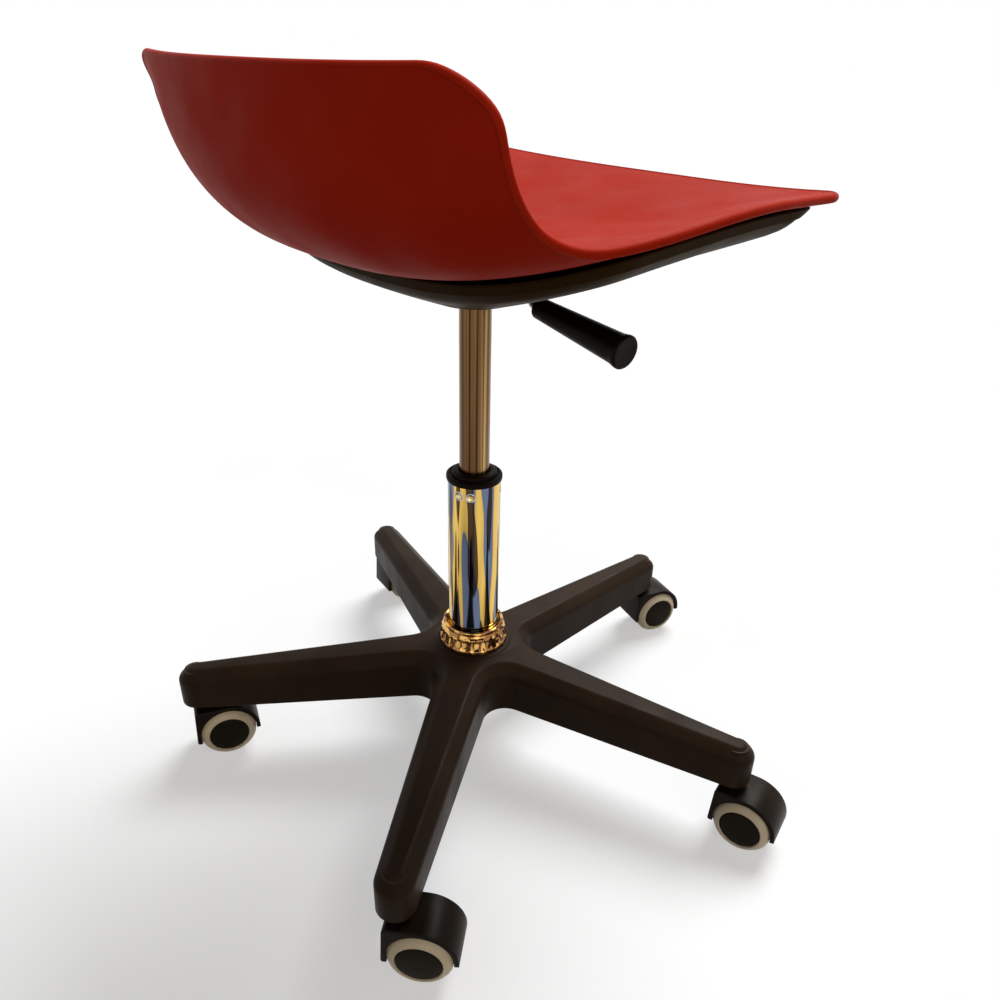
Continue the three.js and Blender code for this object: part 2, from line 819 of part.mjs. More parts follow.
function piston() {
  const outer = cylinderRadius - cylinderWall - runningGap;
  const groove = outer - cylinderWall;
  const third = pistonHeight / 3;
  const inner = pistonRodRadius + clearance;
  return turned(
    [
      [inner, pistonBottom],
      [outer, pistonBottom],
      [outer, pistonBottom + third],
      [groove, pistonBottom + third],
      [groove, pistonBottom + 2 * third],
      [outer, pistonBottom + 2 * third],
      [outer, pistonBottom + pistonHeight],
      [inner, pistonBottom + pistonHeight],
    ],
    flatsSmall,
  );
}

function washer(bottom) {
  return pipe(rodNeckRadius + runningGap, washerRadius, bottom, bottom + washerHeight, flatsSmall);
}

// Cage of the thrust bearing, with its balls proud above and below
function ballRing() {
  const middle = ballRingBottom + ballRingHeight / 2;
  const inner = rodNeckRadius + runningGap;
  const outer = washerRadius - runningGap;
  const ring = pipe(inner, outer, middle - ballRadius / 2, middle + ballRadius / 2, flatsSmall);
  const pitch = (rodNeckRadius + washerRadius) / 2;
  const balls = Array.from({ length: ballCount }, (_, i) => {
    const geometry = new THREE.SphereGeometry(ballRingHeight / 2, flatsTiny - cornerSteps, flatsTiny / 2);
    const angle = (2 * Math.PI * i) / ballCount;
    geometry.rotateX(Math.PI / 2);
    geometry.translate(pitch * Math.cos(angle), pitch * Math.sin(angle), middle);
    return solid(geometry);
  });
  return union([ring, ...balls]);
}

function bumper() {
  const waist = bumperRadius - bumperWaistDepth;
  return turned(
    [
      [pistonRodRadius + clearance, bumperBottom],
      [bumperRadius, bumperBottom],
      [waist, bumperBottom + bumperHeight / 2],
      [bumperRadius, bumperBottom + bumperHeight],
      [pistonRodRadius + clearance, bumperBottom + bumperHeight],
    ],
    flatsSmall,
  );
}

// Outer tube: round above, tapered where the hub grips it, with a floor for the bearing
// and crimped dimples at the top
function outerTube() {
  const body = turned(
    [
      [rodNeckRadius + runningGap, tubeFootHeight],
      [tubeFootRadius, tubeFootHeight],
      [tubeRadius, tubeTaperStart],
      [tubeRadius, tubeTop],
      [tubeRadius - tubeWall, tubeTop],
      [tubeRadius - tubeWall, tubeTaperStart],
      [tubeFootRadius - tubeWall, tubeFloorTop],
      [rodNeckRadius + runningGap, tubeFloorTop],
    ],
    flatsLarge,
  );
  const reach = tubeRadius - dimpleDepth + dimpleRadius;
  const dimple = (turnDeg) => {
    const geometry = new THREE.SphereGeometry(dimpleRadius, flatsTiny - cornerSteps, flatsTiny / 2);
    const turn = radians(turnDeg);
    geometry.translate(reach * Math.cos(turn), reach * Math.sin(turn), tubeTop - dimpleDrop);
    return solid(geometry);
  };
  const dimples = Array.from({ length: dimplePairs }, (_, pair) =>
    [-1, 1].map((side) => {
      const pairTurn = dimpleTurnDeg + (fullTurn * pair) / dimplePairs;
      return dimple(pairTurn + (side * dimpleSpreadDeg) / 2);
    }),
  );
  return body.subtract(union(dimples.flat()));
}

function guideBushing() {
  const inner = cylinderRadius + runningGap;
  const sleeve = tubeRadius - tubeWall - clearance;
  const capBottom = tubeTop + clearance;
  const capTop = capBottom + bushingCapHeight;
  return turned(
    [
      [inner, tubeTop - bushingDepth],
      [sleeve, tubeTop - bushingDepth],
      [sleeve, capBottom],
      [bushingCapRadius, capBottom],
      [bushingCapRadius, capTop],
      [bushingNeckRadius, capTop],
      [bushingNeckRadius, capTop + bushingNeckHeight],
      [inner, capTop + bushingNeckHeight],
    ],
    flatsLarge,
  );
}

// Chromed collar: a rolled lip over a faceted skirt with a pocket between each pair of facets
function tubeCollar() {
  const inner = tubeRadius + clearance;
  const bottom = hubTop + clearance;
  const top = bottom + collarHeight;
  const flangeTop = bottom + collarFlangeHeight;
  const shoulder = top - 3 * collarLipBead;
  const throat = collarLipRadius - 2 * collarLipBead + collarLipBead / 4;
  const body = turned(
    [
      [inner, bottom],
      [collarSkirtRadius, bottom],
      [collarSkirtRadius, flangeTop],
      [collarLipRadius + collarLipBead / 2, shoulder],
      [collarLipRadius, top - collarLipBead],
      [collarLipRadius - collarLipBead, top],
      [throat, top - 2 * collarLipBead],
      [inner, top - 3 * collarLipBead],
    ],
    2 * collarFacets,
  );
  const pitch = (2 * Math.PI * collarSkirtRadius) / collarFacets;
  const height = shoulder - flangeTop - collarLipBead / 2;
  const pocket = block(
    2 * collarPocketDepth,
    pitch * collarPocketShare,
    height,
    collarSkirtRadius - collarPocketDepth / 4,
    0,
    (shoulder + flangeTop) / 2,
  );
  const pockets = Array.from({ length: collarFacets }, (_, i) =>
    pocket.rotate([0, 0, (fullTurn * i) / collarFacets]),
  );
  return body.subtract(union(pockets));
}

// Plan outline of the base: straight tapered arms, round tips, and round webs between the arms
function baseOutline(inset) {
  const points = [];
  const pitch = (2 * Math.PI) / armCount;
  const lean = Math.asin((armHubHalf - armTipRadius) / stemCircle);
  const wall = armHubHalf - inset;
  const web = webRadius + inset;
  const webCentre = (wall + web) / Math.sin(pitch / 2 + lean);
  for (let k = 0; k < armCount; k += 1) {
    const arm = pitch * k;
    for (let i = 0; i <= armTipSteps; i += 1) {
      const angle = arm + lerp(-Math.PI / 2 + lean, Math.PI / 2 - lean, i / armTipSteps);
      const radius = armTipRadius - inset;
      points.push(
        new THREE.Vector2(
          stemCircle * Math.cos(arm) + radius * Math.cos(angle),
          stemCircle * Math.sin(arm) + radius * Math.sin(angle),
        ),
      );
    }
    const middle = arm + pitch / 2;
    for (let i = 0; i <= armWebSteps; i += 1) {
      const from = arm + 1.5 * Math.PI - lean;
      const to = arm + pitch + Math.PI / 2 + lean;
      const angle = lerp(from, to, i / armWebSteps);
      points.push(
        new THREE.Vector2(
          webCentre * Math.cos(middle) + web * Math.cos(angle),
          webCentre * Math.sin(middle) + web * Math.sin(angle),
        ),
      );
    }
  }
  return points;
}

function armTopAt(radius) {
  return hubTop - armTopDropShare * radius;
}

function armUnderAt(radius) {
  return lerp(armUnderTip + baseWall, armUnderTip, Math.min(1, radius / stemCircle));
}

// One skin of the base: its outside at no wall, or the hollow under it
function baseBody(wall, roof, drop) {
  const level = (inset, heightOf) =>
    baseOutline(inset).map((p) => new THREE.Vector3(p.x, p.y, heightOf(p.length())));
  return solid(
    loft([
      level(wall, (r) => armUnderAt(r) - drop),
      level(wall, (r) => armTopAt(r) - armChamferDrop - roof),
      level(wall + armChamferWide, (r) => armTopAt(r) - roof),
    ]),
  );
}

function starBase() {
  const shellOnly = baseBody(0, 0, 0).subtract(baseBody(baseWall, baseRoof, overrun));
  const ribTop = armTopAt(stemCircle) - baseRoof / 2;
  const ribBottom = lerp(ribTop, armUnderTip, ribHeightShare);
  const from = hubSleeveRadius - baseWall;
  const to = stemCircle - stemSleeveRadius / 2;
  const ribMiddle = (ribTop + ribBottom) / 2;
  const longRib = block(to - from, ribThickness, ribTop - ribBottom, (from + to) / 2, 0, ribMiddle);
  const crossTop = ribTop - armChamferDrop;
  const crossRibs = crossRibShares.map((share) => {
    const half = lerp(armHubHalf, armTipRadius, share) - baseWall / 2;
    const crossMiddle = (crossTop + ribBottom) / 2;
    return block(ribThickness, 2 * half, crossTop - ribBottom, stemCircle * share, 0, crossMiddle);
  });
  const sleeve = rod(stemSleeveRadius, armUnderTip, ribTop, flatsTiny).translate([stemCircle, 0, 0]);
  const boreTop = armUnderTip + stemReach + clearance;
  const bore = rod(holeRadius(stemRadius, flatsTiny), armUnderTip - overrun, boreTop, flatsTiny);
  const turns = Array.from({ length: armCount }, (_, k) => [0, 0, (fullTurn * k) / armCount]);
  const insides = turns.map((turn) => union([longRib, ...crossRibs, sleeve]).rotate(turn));
  const bores = turns.map((turn) => bore.translate([stemCircle, 0, 0]).rotate(turn));
  const hub = rod(hubSleeveRadius, armUnderTip, hubTop - baseRoof / 2, flatsMiddle);
  const pad = turned(
    [
      [0, hubTop - baseRoof],
      [hubPadRadius + baseRoof, hubTop - baseRoof],
      [hubPadRadius, hubTop],
      [0, hubTop],
    ],
    flatsMiddle,
  );
  const grip = turned(
    [
      [0, tubeFootHeight - overrun],
      [tubeFootRadius + clearance, tubeFootHeight - overrun],
      [tubeRadius + clearance, tubeTaperStart],
      [tubeRadius + clearance, hubTop + overrun],
      [0, hubTop + overrun],
    ],
    flatsLarge,
  );
  return union([shellOnly, ...insides, hub, pad])
    .subtract(grip)
    .subtract(union(bores));
}

// Side view of a caster hood: round behind the wheel, flat above the stem, with a front wall
// that leans forward at its foot
function hoodShape(radius, frontReach) {
  const shape = new THREE.Shape();
  const rearDrop = wheelRadius - hoodRearLip;
  const rearAngle = -Math.asin(rearDrop / radius);
  shape.moveTo(-frontReach - hoodFrontFlare, hoodFrontLip - wheelRadius);
  shape.lineTo(radius * Math.cos(rearAngle), -rearDrop);
  shape.absarc(0, 0, radius, rearAngle, Math.PI / 2, false);
  shape.lineTo(-frontReach + hoodFrontCorner, radius);
  shape.quadraticCurveTo(-frontReach, radius, -frontReach, radius - hoodFrontCorner);
  return shape;
}

// A solid turned about the axle instead of the column, with its profile's second value across the caster
function acrossCaster(made) {
  return made.rotate([90, 0, 0]).translate([wheelTrail, 0, wheelRadius]);
}

function casterHood() {
  const outline = hoodShape(hoodRadius, hoodFrontReach);
  const outside = prism(outline, -hoodHalfWidth, 2 * hoodHalfWidth, hoodSteps);
  const wells = [-1, 1].map((side) => wheelRoom(side));
  const axleHole = rod(holeRadius(axleRadius, flatsTiny), -hoodWeb, hoodWeb, flatsTiny);
  const shell = acrossCaster(outside.subtract(union([...wells, axleHole])));
  const boss = rod(hoodStemBoss, wheelRadius + axleRadius * 2, hoodTop - clearance, flatsSmall);
  const bore = rod(holeRadius(stemRadius, flatsTiny), stemFoot - clearance, hoodTop + overrun, flatsTiny);
  return union([shell, boss.subtract(acrossCaster(union(wells)))]).subtract(bore);
}

function wheelRoom(side) {
  const from = hoodWeb / 2;
  const to = hoodHalfWidth + overrun;
  return rod(wheelRadius + hoodWheelGap, side > 0 ? from : -to, side > 0 ? to : -from, flatsHood);
}

const stemFoot = wheelRadius + hoodRadius - stemSink;

// Stem: pressed into the base's socket, with a collar that the hood turns under
function casterStem() {
  const collarBottom = armUnderTip - clearance - stemCollarHeight;
  const tip = stemRadius / 4;
  const top = armUnderTip + stemReach;
  return turned(
    [
      [0, stemFoot],
      [stemRadius, stemFoot],
      [stemRadius, collarBottom],
      [stemCollarRadius, collarBottom],
      [stemCollarRadius, collarBottom + stemCollarHeight],
      [stemRadius, collarBottom + stemCollarHeight],
      [stemRadius, top - tip],
      [stemRadius - tip, top],
      [0, top],
    ],
    flatsTiny,
  );
}

const wheelInner = wheelHalfSpan - wheelWidth;
const discRadius = wheelRadius - treadDepth;

function casterAxle() {
  const reach = wheelHalfSpan - wheelWidth / 3;
  return acrossCaster(rod(axleRadius, -reach, reach, flatsTiny));
}

// A tread: a soft ring with rounded edges
function casterTread(side) {
  const inner = discRadius + clearance;
  const outer = wheelRadius / Math.cos(Math.PI / flatsWheel);
  const crown = wheelHalfSpan - treadEdge;
  const shoulder = wheelHalfSpan - treadEdge / 5;
  const profile = [
    [inner, wheelInner],
    [outer, wheelInner],
    [outer, crown],
    [outer - treadEdge / 2, shoulder],
    [inner, wheelHalfSpan],
  ];
  const ring = turned(profile.map(([r, z]) => [r, side * z]), flatsWheel);
  return acrossCaster(ring.rotate([0, 0, fullTurn / flatsWheel / 2]));
}

// A wheel's core: a disc with a blind bore for the axle and a slightly domed face
function casterDisc(side) {
  const boreEnd = wheelHalfSpan - wheelWidth / 3 + clearance;
  const bore = axleRadius + clearance;
  const profile = [
    [bore, wheelInner],
    [discRadius, wheelInner],
    [discRadius, wheelHalfSpan - discProud / 2],
    [0, wheelHalfSpan + discProud],
    [0, boreEnd],
    [bore, boreEnd],
  ];
  const disc = turnedOpen(profile.map(([r, z]) => [r, side * z]), flatsWheel);
  return acrossCaster(disc.rotate([0, 0, fullTurn / flatsWheel / 2]));
}

// A solid of revolution whose profile meets the axis twice part way along
function turnedOpen(points, segments) {
  const start = points.findIndex(([r], i) => r === 0 && points[(i + 1) % points.length][0] === 0);
  const order = [...points.slice(start + 1), ...points.slice(0, start + 1)];
  return turned(order, segments);
}

// Lever: a bent rod from over the button, through its pivot, down through the cover to the grip
function leverRod() {
  const along = gripDirection();
  const gripStart = gripPlace(0);
  const inside = gripPlace(0).addScaledVector(along, gripRodDepth);
  const over = leverPivotHeight;
  const path = new THREE.CurvePath();
  const points = [
    new THREE.Vector3(0, 0, over),
    new THREE.Vector3(0, -leverForward, over),
    new THREE.Vector3(-leverPivotSide, -leverForward, over),
    new THREE.Vector3(-leverPivotSide - 2 * leverRodRadius, -leverForward, over - 2 * leverRodRadius),
    gripStart.clone().addScaledVector(along, -2 * leverRodRadius),
    inside,
  ];
  const bend = leverRodRadius * 2;
  let from = points[0];
  for (let i = 1; i + 1 < points.length; i += 1) {
    const before = points[i].clone().lerp(points[i - 1], bend / points[i].distanceTo(points[i - 1]) / 2);
    const after = points[i].clone().lerp(points[i + 1], bend / points[i].distanceTo(points[i + 1]) / 2);
    path.add(new THREE.LineCurve3(from, before));
    path.add(new THREE.QuadraticBezierCurve3(before, points[i], after));
    from = after;
  }
  path.add(new THREE.LineCurve3(from, points[points.length - 1]));
  const section = new THREE.Shape();
  section.absarc(0, 0, leverRodRadius, 0, 2 * Math.PI, false);
  const swept = { extrudePath: path, steps: leverSteps, curveSegments: leverFlats, bevelEnabled: false };
  const wire = facingOut(new THREE.ExtrudeGeometry(section, swept));
  const eyeHalf = leverEyeWidth / 2;
  const eye = pipe(leverPinRadius + clearance, leverEyeRadius, -eyeHalf, eyeHalf, flatsSmall)
    .rotate([90, 0, 0])
    .translate([-leverPivotSide, -leverForward, over]);
  const hole = rod(leverPinRadius + clearance, -leverEyeWidth, leverEyeWidth, flatsTiny)
    .rotate([90, 0, 0])
    .translate([-leverPivotSide, -leverForward, over]);
  return union([wire, eye]).subtract(hole);
}

function gripDirection() {
  const outward = gripInnerSide - gripOuterSide;
  return new THREE.Vector3(outward, 0, gripOuterHeight - gripInnerHeight).normalize();
}

function gripPlace(distance) {
  const inner = new THREE.Vector3(-gripInnerSide, -leverForward, gripInnerHeight);
  return inner.addScaledVector(gripDirection(), distance);
}

function leverGrip() {
  const length = Math.hypot(gripOuterSide - gripInnerSide, gripOuterHeight - gripInnerHeight);
  const bore = leverRodRadius + clearance;
  const edge = gripInnerRadius / 4;
  const body = turned(
    [
      [0, gripRodDepth + clearance],
      [bore, gripRodDepth + clearance],
      [bore, 0],
      [gripInnerRadius - edge, 0],
      [gripInnerRadius, edge],
      [gripOuterRadius, length - gripFlareLength],
      [gripFlareRadius, length - gripFlareLength / 3],
      [gripFlareRadius - edge / 2, length],
      [0, length],
    ],
    flatsMiddle,
  );
  const slope = Math.atan2(gripOuterHeight - gripInnerHeight, gripOuterSide - gripInnerSide);
  const tilt = THREE.MathUtils.radToDeg(slope);
  return body.rotate([0, tilt - 90, 0]).translate([-gripInnerSide, -leverForward, gripInnerHeight]);
}

function leverPin() {
  const reach = leverEyeWidth / 2 + clearance + leverEarThickness + clearance;
  const end = reach + leverPinRadius / 2;
  const profile = [
    [0, -end],
    [leverPinRadius, -end],
    [leverPinRadius, reach],
    [leverPinHeadRadius, reach],
    [leverPinHeadRadius, end],
    [0, end],
  ];
  return turned(profile, flatsTiny)
    .rotate([90, 0, 0])
    .translate([-leverPivotSide, -leverForward, leverPivotHeight]);
}

function seatScrew([x, y]) {
  const under = plateHeight - clearance;
  const top = plateHeight + plateThickness + screwGrip;
  return turned(
    [
      [0, under - screwHeadHeight],
      [screwHeadRadius * screwDomeShare, under - screwHeadHeight],
      [screwHeadRadius, under - screwHeadHeight / 3],
      [screwHeadRadius, under],
      [screwRadius, under],
      [screwRadius, top],
      [0, top],
    ],
    flatsTiny,
  ).translate([x, y, 0]);
}

// Assembly
const stool = new THREE.Group();
stool.position.set(columnX, columnY, 0);

stool.add(named('seat_shell', seatShell(), shellMaterial));
stool.add(named('seat_cover', underCover(), blackPlastic));
stool.add(named('mounting_plate', mountingPlate(), darkSteel));
stool.add(named('taper_socket', taperSocket(), darkSteel));
screwPlaces().forEach((place, i) => stool.add(named(`seat_screw_${i + 1}`, seatScrew(place), zincSteel)));
stool.add(named('lever_rod', leverRod(), zincSteel));
stool.add(named('lever_pin', leverPin(), zincSteel));
stool.add(named('lever_grip', leverGrip(), blackPlastic));

stool.add(named('gas_cylinder', gasCylinder(), satinSteel));
stool.add(named('release_button', releaseButton(), zincSteel));
stool.add(named('rod_guide', rodGuide(), blackPlastic));
stool.add(named('piston_rod', pistonRod(), chrome));
stool.add(named('piston', piston(), blackPlastic));
stool.add(named('lower_washer', washer(lowerWasherBottom), zincSteel));
stool.add(named('ball_ring', ballRing(), zincSteel));
stool.add(named('upper_washer', washer(upperWasherBottom), zincSteel));
stool.add(named('end_bumper', bumper(), rubber));
stool.add(named('retaining_clip', retainingClip(), zincSteel));
stool.add(named('outer_tube', outerTube(), chrome));
stool.add(named('guide_bushing', guideBushing(), blackPlastic));
stool.add(named('tube_collar', tubeCollar(), chrome));

const base = new THREE.Group();
base.rotation.z = radians(baseTurnDeg);
base.add(named('star_base', starBase(), blackPlastic));
stool.add(base);

// Casters, counted from the arm at the rear right, with each trailing direction as it stands
for (let k = 0; k < armCount; k += 1) {
  const armDeg = baseTurnDeg + (fullTurn * k) / armCount;
  const caster = new THREE.Group();
  caster.position.set(stemCircle * Math.cos(radians(armDeg)), stemCircle * Math.sin(radians(armDeg)), 0);
  caster.rotation.z = radians(casterTrailDeg[k]);
  const n = k + 1;
  caster.add(named(`caster_stem_${n}`, casterStem(), zincSteel));
  caster.add(named(`caster_hood_${n}`, casterHood(), blackPlastic));
  caster.add(named(`caster_axle_${n}`, casterAxle(), zincSteel));
  caster.add(named(`tread_${n}a`, casterTread(1), treadMaterial));
  caster.add(named(`tread_${n}b`, casterTread(-1), treadMaterial));
  caster.add(named(`wheel_disc_${n}a`, casterDisc(1), blackPlastic));
  caster.add(named(`wheel_disc_${n}b`, casterDisc(-1), blackPlastic));
  stool.add(caster);
}

export default stool;
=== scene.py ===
import math

import bmesh
import bpy
from mathutils import Matrix, Vector
from mathutils.geometry import tessellate_polygon


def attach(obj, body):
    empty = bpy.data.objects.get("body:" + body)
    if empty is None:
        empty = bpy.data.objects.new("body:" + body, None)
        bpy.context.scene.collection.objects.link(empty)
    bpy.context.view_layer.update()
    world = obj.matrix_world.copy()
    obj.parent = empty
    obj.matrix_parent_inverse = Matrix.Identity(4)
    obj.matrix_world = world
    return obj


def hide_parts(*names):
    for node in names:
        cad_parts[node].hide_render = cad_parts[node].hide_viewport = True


MM = 0.001
COLUMN = Vector((15.4, 44.5, 0.0))
IMAGE = 1000.0
SENSOR = 36

# Camera at the viewing angle of the photograph
CAMERA_HEADING = math.radians(-43.019)
CAMERA_PITCH = 0.5149
CAMERA_ROLL = 0.030717
CAMERA_PLACE = Vector((-545.2, 461.0, 653.85))
FOCAL_PIXELS = 845.2744
PRINCIPAL = (509.9645, 530.7193)


def make_camera():
    plan = Vector((math.cos(CAMERA_HEADING), math.sin(CAMERA_HEADING), 0))
    right = Vector((plan.y, -plan.x, 0))
    forward = plan * math.cos(CAMERA_PITCH) - Vector((0, 0, math.sin(CAMERA_PITCH)))
    up = right.cross(forward)
    rolled_right = right * math.cos(CAMERA_ROLL) + up * math.sin(CAMERA_ROLL)
    rolled_up = up * math.cos(CAMERA_ROLL) - right * math.sin(CAMERA_ROLL)
    data = bpy.data.cameras.new("camera")
    data.sensor_fit = "HORIZONTAL"
    data.sensor_width = SENSOR
    data.lens = FOCAL_PIXELS * SENSOR / IMAGE
    data.shift_x = (IMAGE / 2 - PRINCIPAL[0]) / IMAGE
    data.shift_y = (PRINCIPAL[1] - IMAGE / 2) / IMAGE
    data.clip_start = 0.01
    data.clip_end = 50
    camera = bpy.data.objects.new("camera", data)
    turn = Matrix((rolled_right, rolled_up, -forward)).transposed()
    camera.matrix_world = Matrix.Translation((CAMERA_PLACE + COLUMN) * MM) @ turn.to_4x4()
    bpy.context.scene.collection.objects.link(camera)
    bpy.context.scene.camera = camera


make_camera()
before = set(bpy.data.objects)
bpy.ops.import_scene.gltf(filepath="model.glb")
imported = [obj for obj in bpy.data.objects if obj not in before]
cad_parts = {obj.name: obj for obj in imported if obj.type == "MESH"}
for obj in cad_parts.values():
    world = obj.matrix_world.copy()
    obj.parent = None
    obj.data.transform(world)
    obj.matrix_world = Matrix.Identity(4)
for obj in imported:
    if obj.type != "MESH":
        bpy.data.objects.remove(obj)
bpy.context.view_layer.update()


# Materials
def new_material(name):
    material = bpy.data.materials.new(name)
    material.use_nodes = True
    tree = material.node_tree
    tree.nodes.clear()
    output = tree.nodes.new("ShaderNodeOutputMaterial")
    shader = tree.nodes.new("ShaderNodeBsdfPrincipled")
    tree.links.new(shader.outputs["BSDF"], output.inputs["Surface"])
    return material, tree, shader


def noise(tree, scale, detail=4.0, stretch=None, roughness=0.5):
    coordinates = tree.nodes.new("ShaderNodeTexCoord")
    texture = tree.nodes.new("ShaderNodeTexNoise")
    texture.inputs["Scale"].default_value = scale
    texture.inputs["Detail"].default_value = detail
    texture.inputs["Roughness"].default_value = roughness
    source = coordinates.outputs["Object"]
    if stretch:
        mapping = tree.nodes.new("ShaderNodeMapping")
        mapping.inputs["Scale"].default_value = stretch
        tree.links.new(source, mapping.inputs["Vector"])
        source = mapping.outputs["Vector"]
    tree.links.new(source, texture.inputs["Vector"])
    return texture.outputs["Fac"]


def ramp(tree, source, stops):
    """A colour ramp whose stops are (place, colour) or (place, grey)."""
    node = tree.nodes.new("ShaderNodeValToRGB")
    elements = node.color_ramp.elements
    while len(elements) < len(stops):
        elements.new(0.5)
    for element, (place, colour) in zip(elements, stops):
        element.position = place
        element.color = (*colour, 1) if isinstance(colour, tuple) else (colour, colour, colour, 1)
    tree.links.new(source, node.inputs["Fac"])
    return node.outputs["Color"]


def feed(tree, value, socket):
    """Links another node to a socket, or sets the socket to a number or a colour."""
    if isinstance(value, bpy.types.NodeSocket):
        tree.links.new(value, socket)
    else:
        socket.default_value = (*value, 1) if isinstance(value, tuple) else value


def mix_colour(tree, factor, first, second):
    node = tree.nodes.new("ShaderNodeMix")
    node.data_type = "RGBA"
    for key, value in ((0, factor), (6, first), (7, second)):
        feed(tree, value, node.inputs[key])
    return node.outputs[2]


def math_node(tree, operation, first, second, clamp=False):
    node = tree.nodes.new("ShaderNodeMath")
    node.operation = operation
    node.use_clamp = clamp
    feed(tree, first, node.inputs[0])
    feed(tree, second, node.inputs[1])
    return node.outputs[0]


def add_bump(tree, shader, height, strength, distance):
    bump = tree.nodes.new("ShaderNodeBump")
    bump.inputs["Strength"].default_value = strength
    bump.inputs["Distance"].default_value = distance
    tree.links.new(height, bump.inputs["Height"])
    tree.links.new(bump.outputs["Normal"], shader.inputs["Normal"])


def pointiness(tree):
    return tree.nodes.new("ShaderNodeNewGeometry").outputs["Pointiness"]


def paler(colour, factor, lift=0.0):
    return tuple(min(1.0, factor * channel + lift) for channel in colour)


def plastic(name, tones, rough, grain, bump, edge_wear_and_highlight, specular=0.5):
    """Moulded plastic in three near tones, with specks, fine scratches and pale edges that are partly wear
    and partly a painted highlight along the ridges.
    """
    material, tree, shader = new_material(name)
    light = tones[2]
    cloud = ramp(tree, noise(tree, 14, 5), list(zip((0.32, 0.5, 0.72), tones)))
    speck = ramp(tree, noise(tree, grain * 0.7, 2), [(0.35, 0.0), (0.75, 1.0)])
    speckled = mix_colour(tree, math_node(tree, "MULTIPLY", speck, 0.35), cloud, light)
    scratches = ramp(tree, noise(tree, 60, 6, (0.35, 1.6, 0.35), 0.7), [(0.62, 0.0), (0.68, 1.0)])
    # Pale edges by pointiness: partly wear, partly a painted highlight along the ridges
    edges = ramp(tree, pointiness(tree), [(0.52, 0.0), (0.60, 1.0)])
    worn_and_highlit_edges = math_node(tree, "MULTIPLY", edges, noise(tree, 120, 3))
    worn_and_highlit_edges = math_node(tree, "MULTIPLY", worn_and_highlit_edges, edge_wear_and_highlight, True)
    tree.links.new(mix_colour(tree, worn_and_highlit_edges, speckled, paler(light, 1.6, 0.02)), shader.inputs["Base Color"])
    level = noise(tree, 25, 4)
    varied = ramp(tree, level, [(0.3, max(0.02, rough - 0.07)), (0.7, min(1.0, rough + 0.07))])
    rougher = mix_colour(tree, math_node(tree, "MULTIPLY", scratches, 0.25), varied, (rough + 0.2,) * 3)
    tree.links.new(rougher, shader.inputs["Roughness"])
    add_bump(tree, shader, noise(tree, grain, 3), bump, 0.0004)
    shader.inputs["Specular IOR Level"].default_value = specular
    return material


def metal(name, tones, rough, brush, grain, bump, spread=0.05, wide=30.0, sharp=0.14):
    """Bare metal whose tones run in fine and in wide streaks along the brushing; where its tones run from
    dark to bright, the streaks are painted reflections.
    """
    material, tree, shader = new_material(name)
    streaks = noise(tree, grain, 4, brush)
    wide_streaks_and_reflections = math_node(tree, "MULTIPLY", noise(tree, wide, 3, brush), 0.65)
    tone = math_node(tree, "ADD", math_node(tree, "MULTIPLY", streaks, 0.35), wide_streaks_and_reflections)
    stops = list(zip((0.5 - sharp, 0.5, 0.5 + sharp), tones))
    tree.links.new(ramp(tree, tone, stops), shader.inputs["Base Color"])
    smudge = noise(tree, 35, 5)
    roughness = ramp(tree, smudge, [(0.35, max(0.01, rough - spread)), (0.7, rough + spread)])
    tree.links.new(roughness, shader.inputs["Roughness"])
    shader.inputs["Metallic"].default_value = 1
    add_bump(tree, shader, streaks, bump, 0.0002)
    return material


def painted_reflection_plating(name, warm, cool, dark, scale, stretch, hollow_shade=False):
    """Plating with painted reflections: long warm, cool and dark streaks that narrow to points, and
    painted shade in the hollows where asked.
    """
    material, tree, shader = new_material(name)
    # Painted reflections: warm and cool streaks that stand in for a room mirrored in the plating
    reflection_streaks = noise(tree, scale, 1.0, (1, 1, stretch), 0.35)
    stops = [(0.44, cool), (0.497, paler(cool, 0.8)), (0.508, warm), (0.62, paler(warm, 1.25))]
    tone = ramp(tree, reflection_streaks, stops)
    # Painted reflections: dark streaks laid over the warm and cool ones
    dark_reflection_noise = noise(tree, scale * 1.3, 1.0, (1, 1, stretch * 0.8), 0.4)
    dark_reflection_mask = ramp(tree, dark_reflection_noise, [(0.575, 0.0), (0.60, 0.92)])
    # Painted shade: concave places, found by pointiness, turn dark
    if hollow_shade:
        hollow_shade_mask = ramp(tree, pointiness(tree), [(0.40, 0.85), (0.46, 0.0)])
        dark_reflection_mask = math_node(tree, "MAXIMUM", dark_reflection_mask, hollow_shade_mask)
    tree.links.new(mix_colour(tree, dark_reflection_mask, tone, dark), shader.inputs["Base Color"])
    smudge = ramp(tree, noise(tree, 45, 5), [(0.4, 0.03), (0.75, 0.09)])
    tree.links.new(smudge, shader.inputs["Roughness"])
    shader.inputs["Metallic"].default_value = 1
    add_bump(tree, shader, noise(tree, 140, 3), 0.01, 0.0002)
    return material


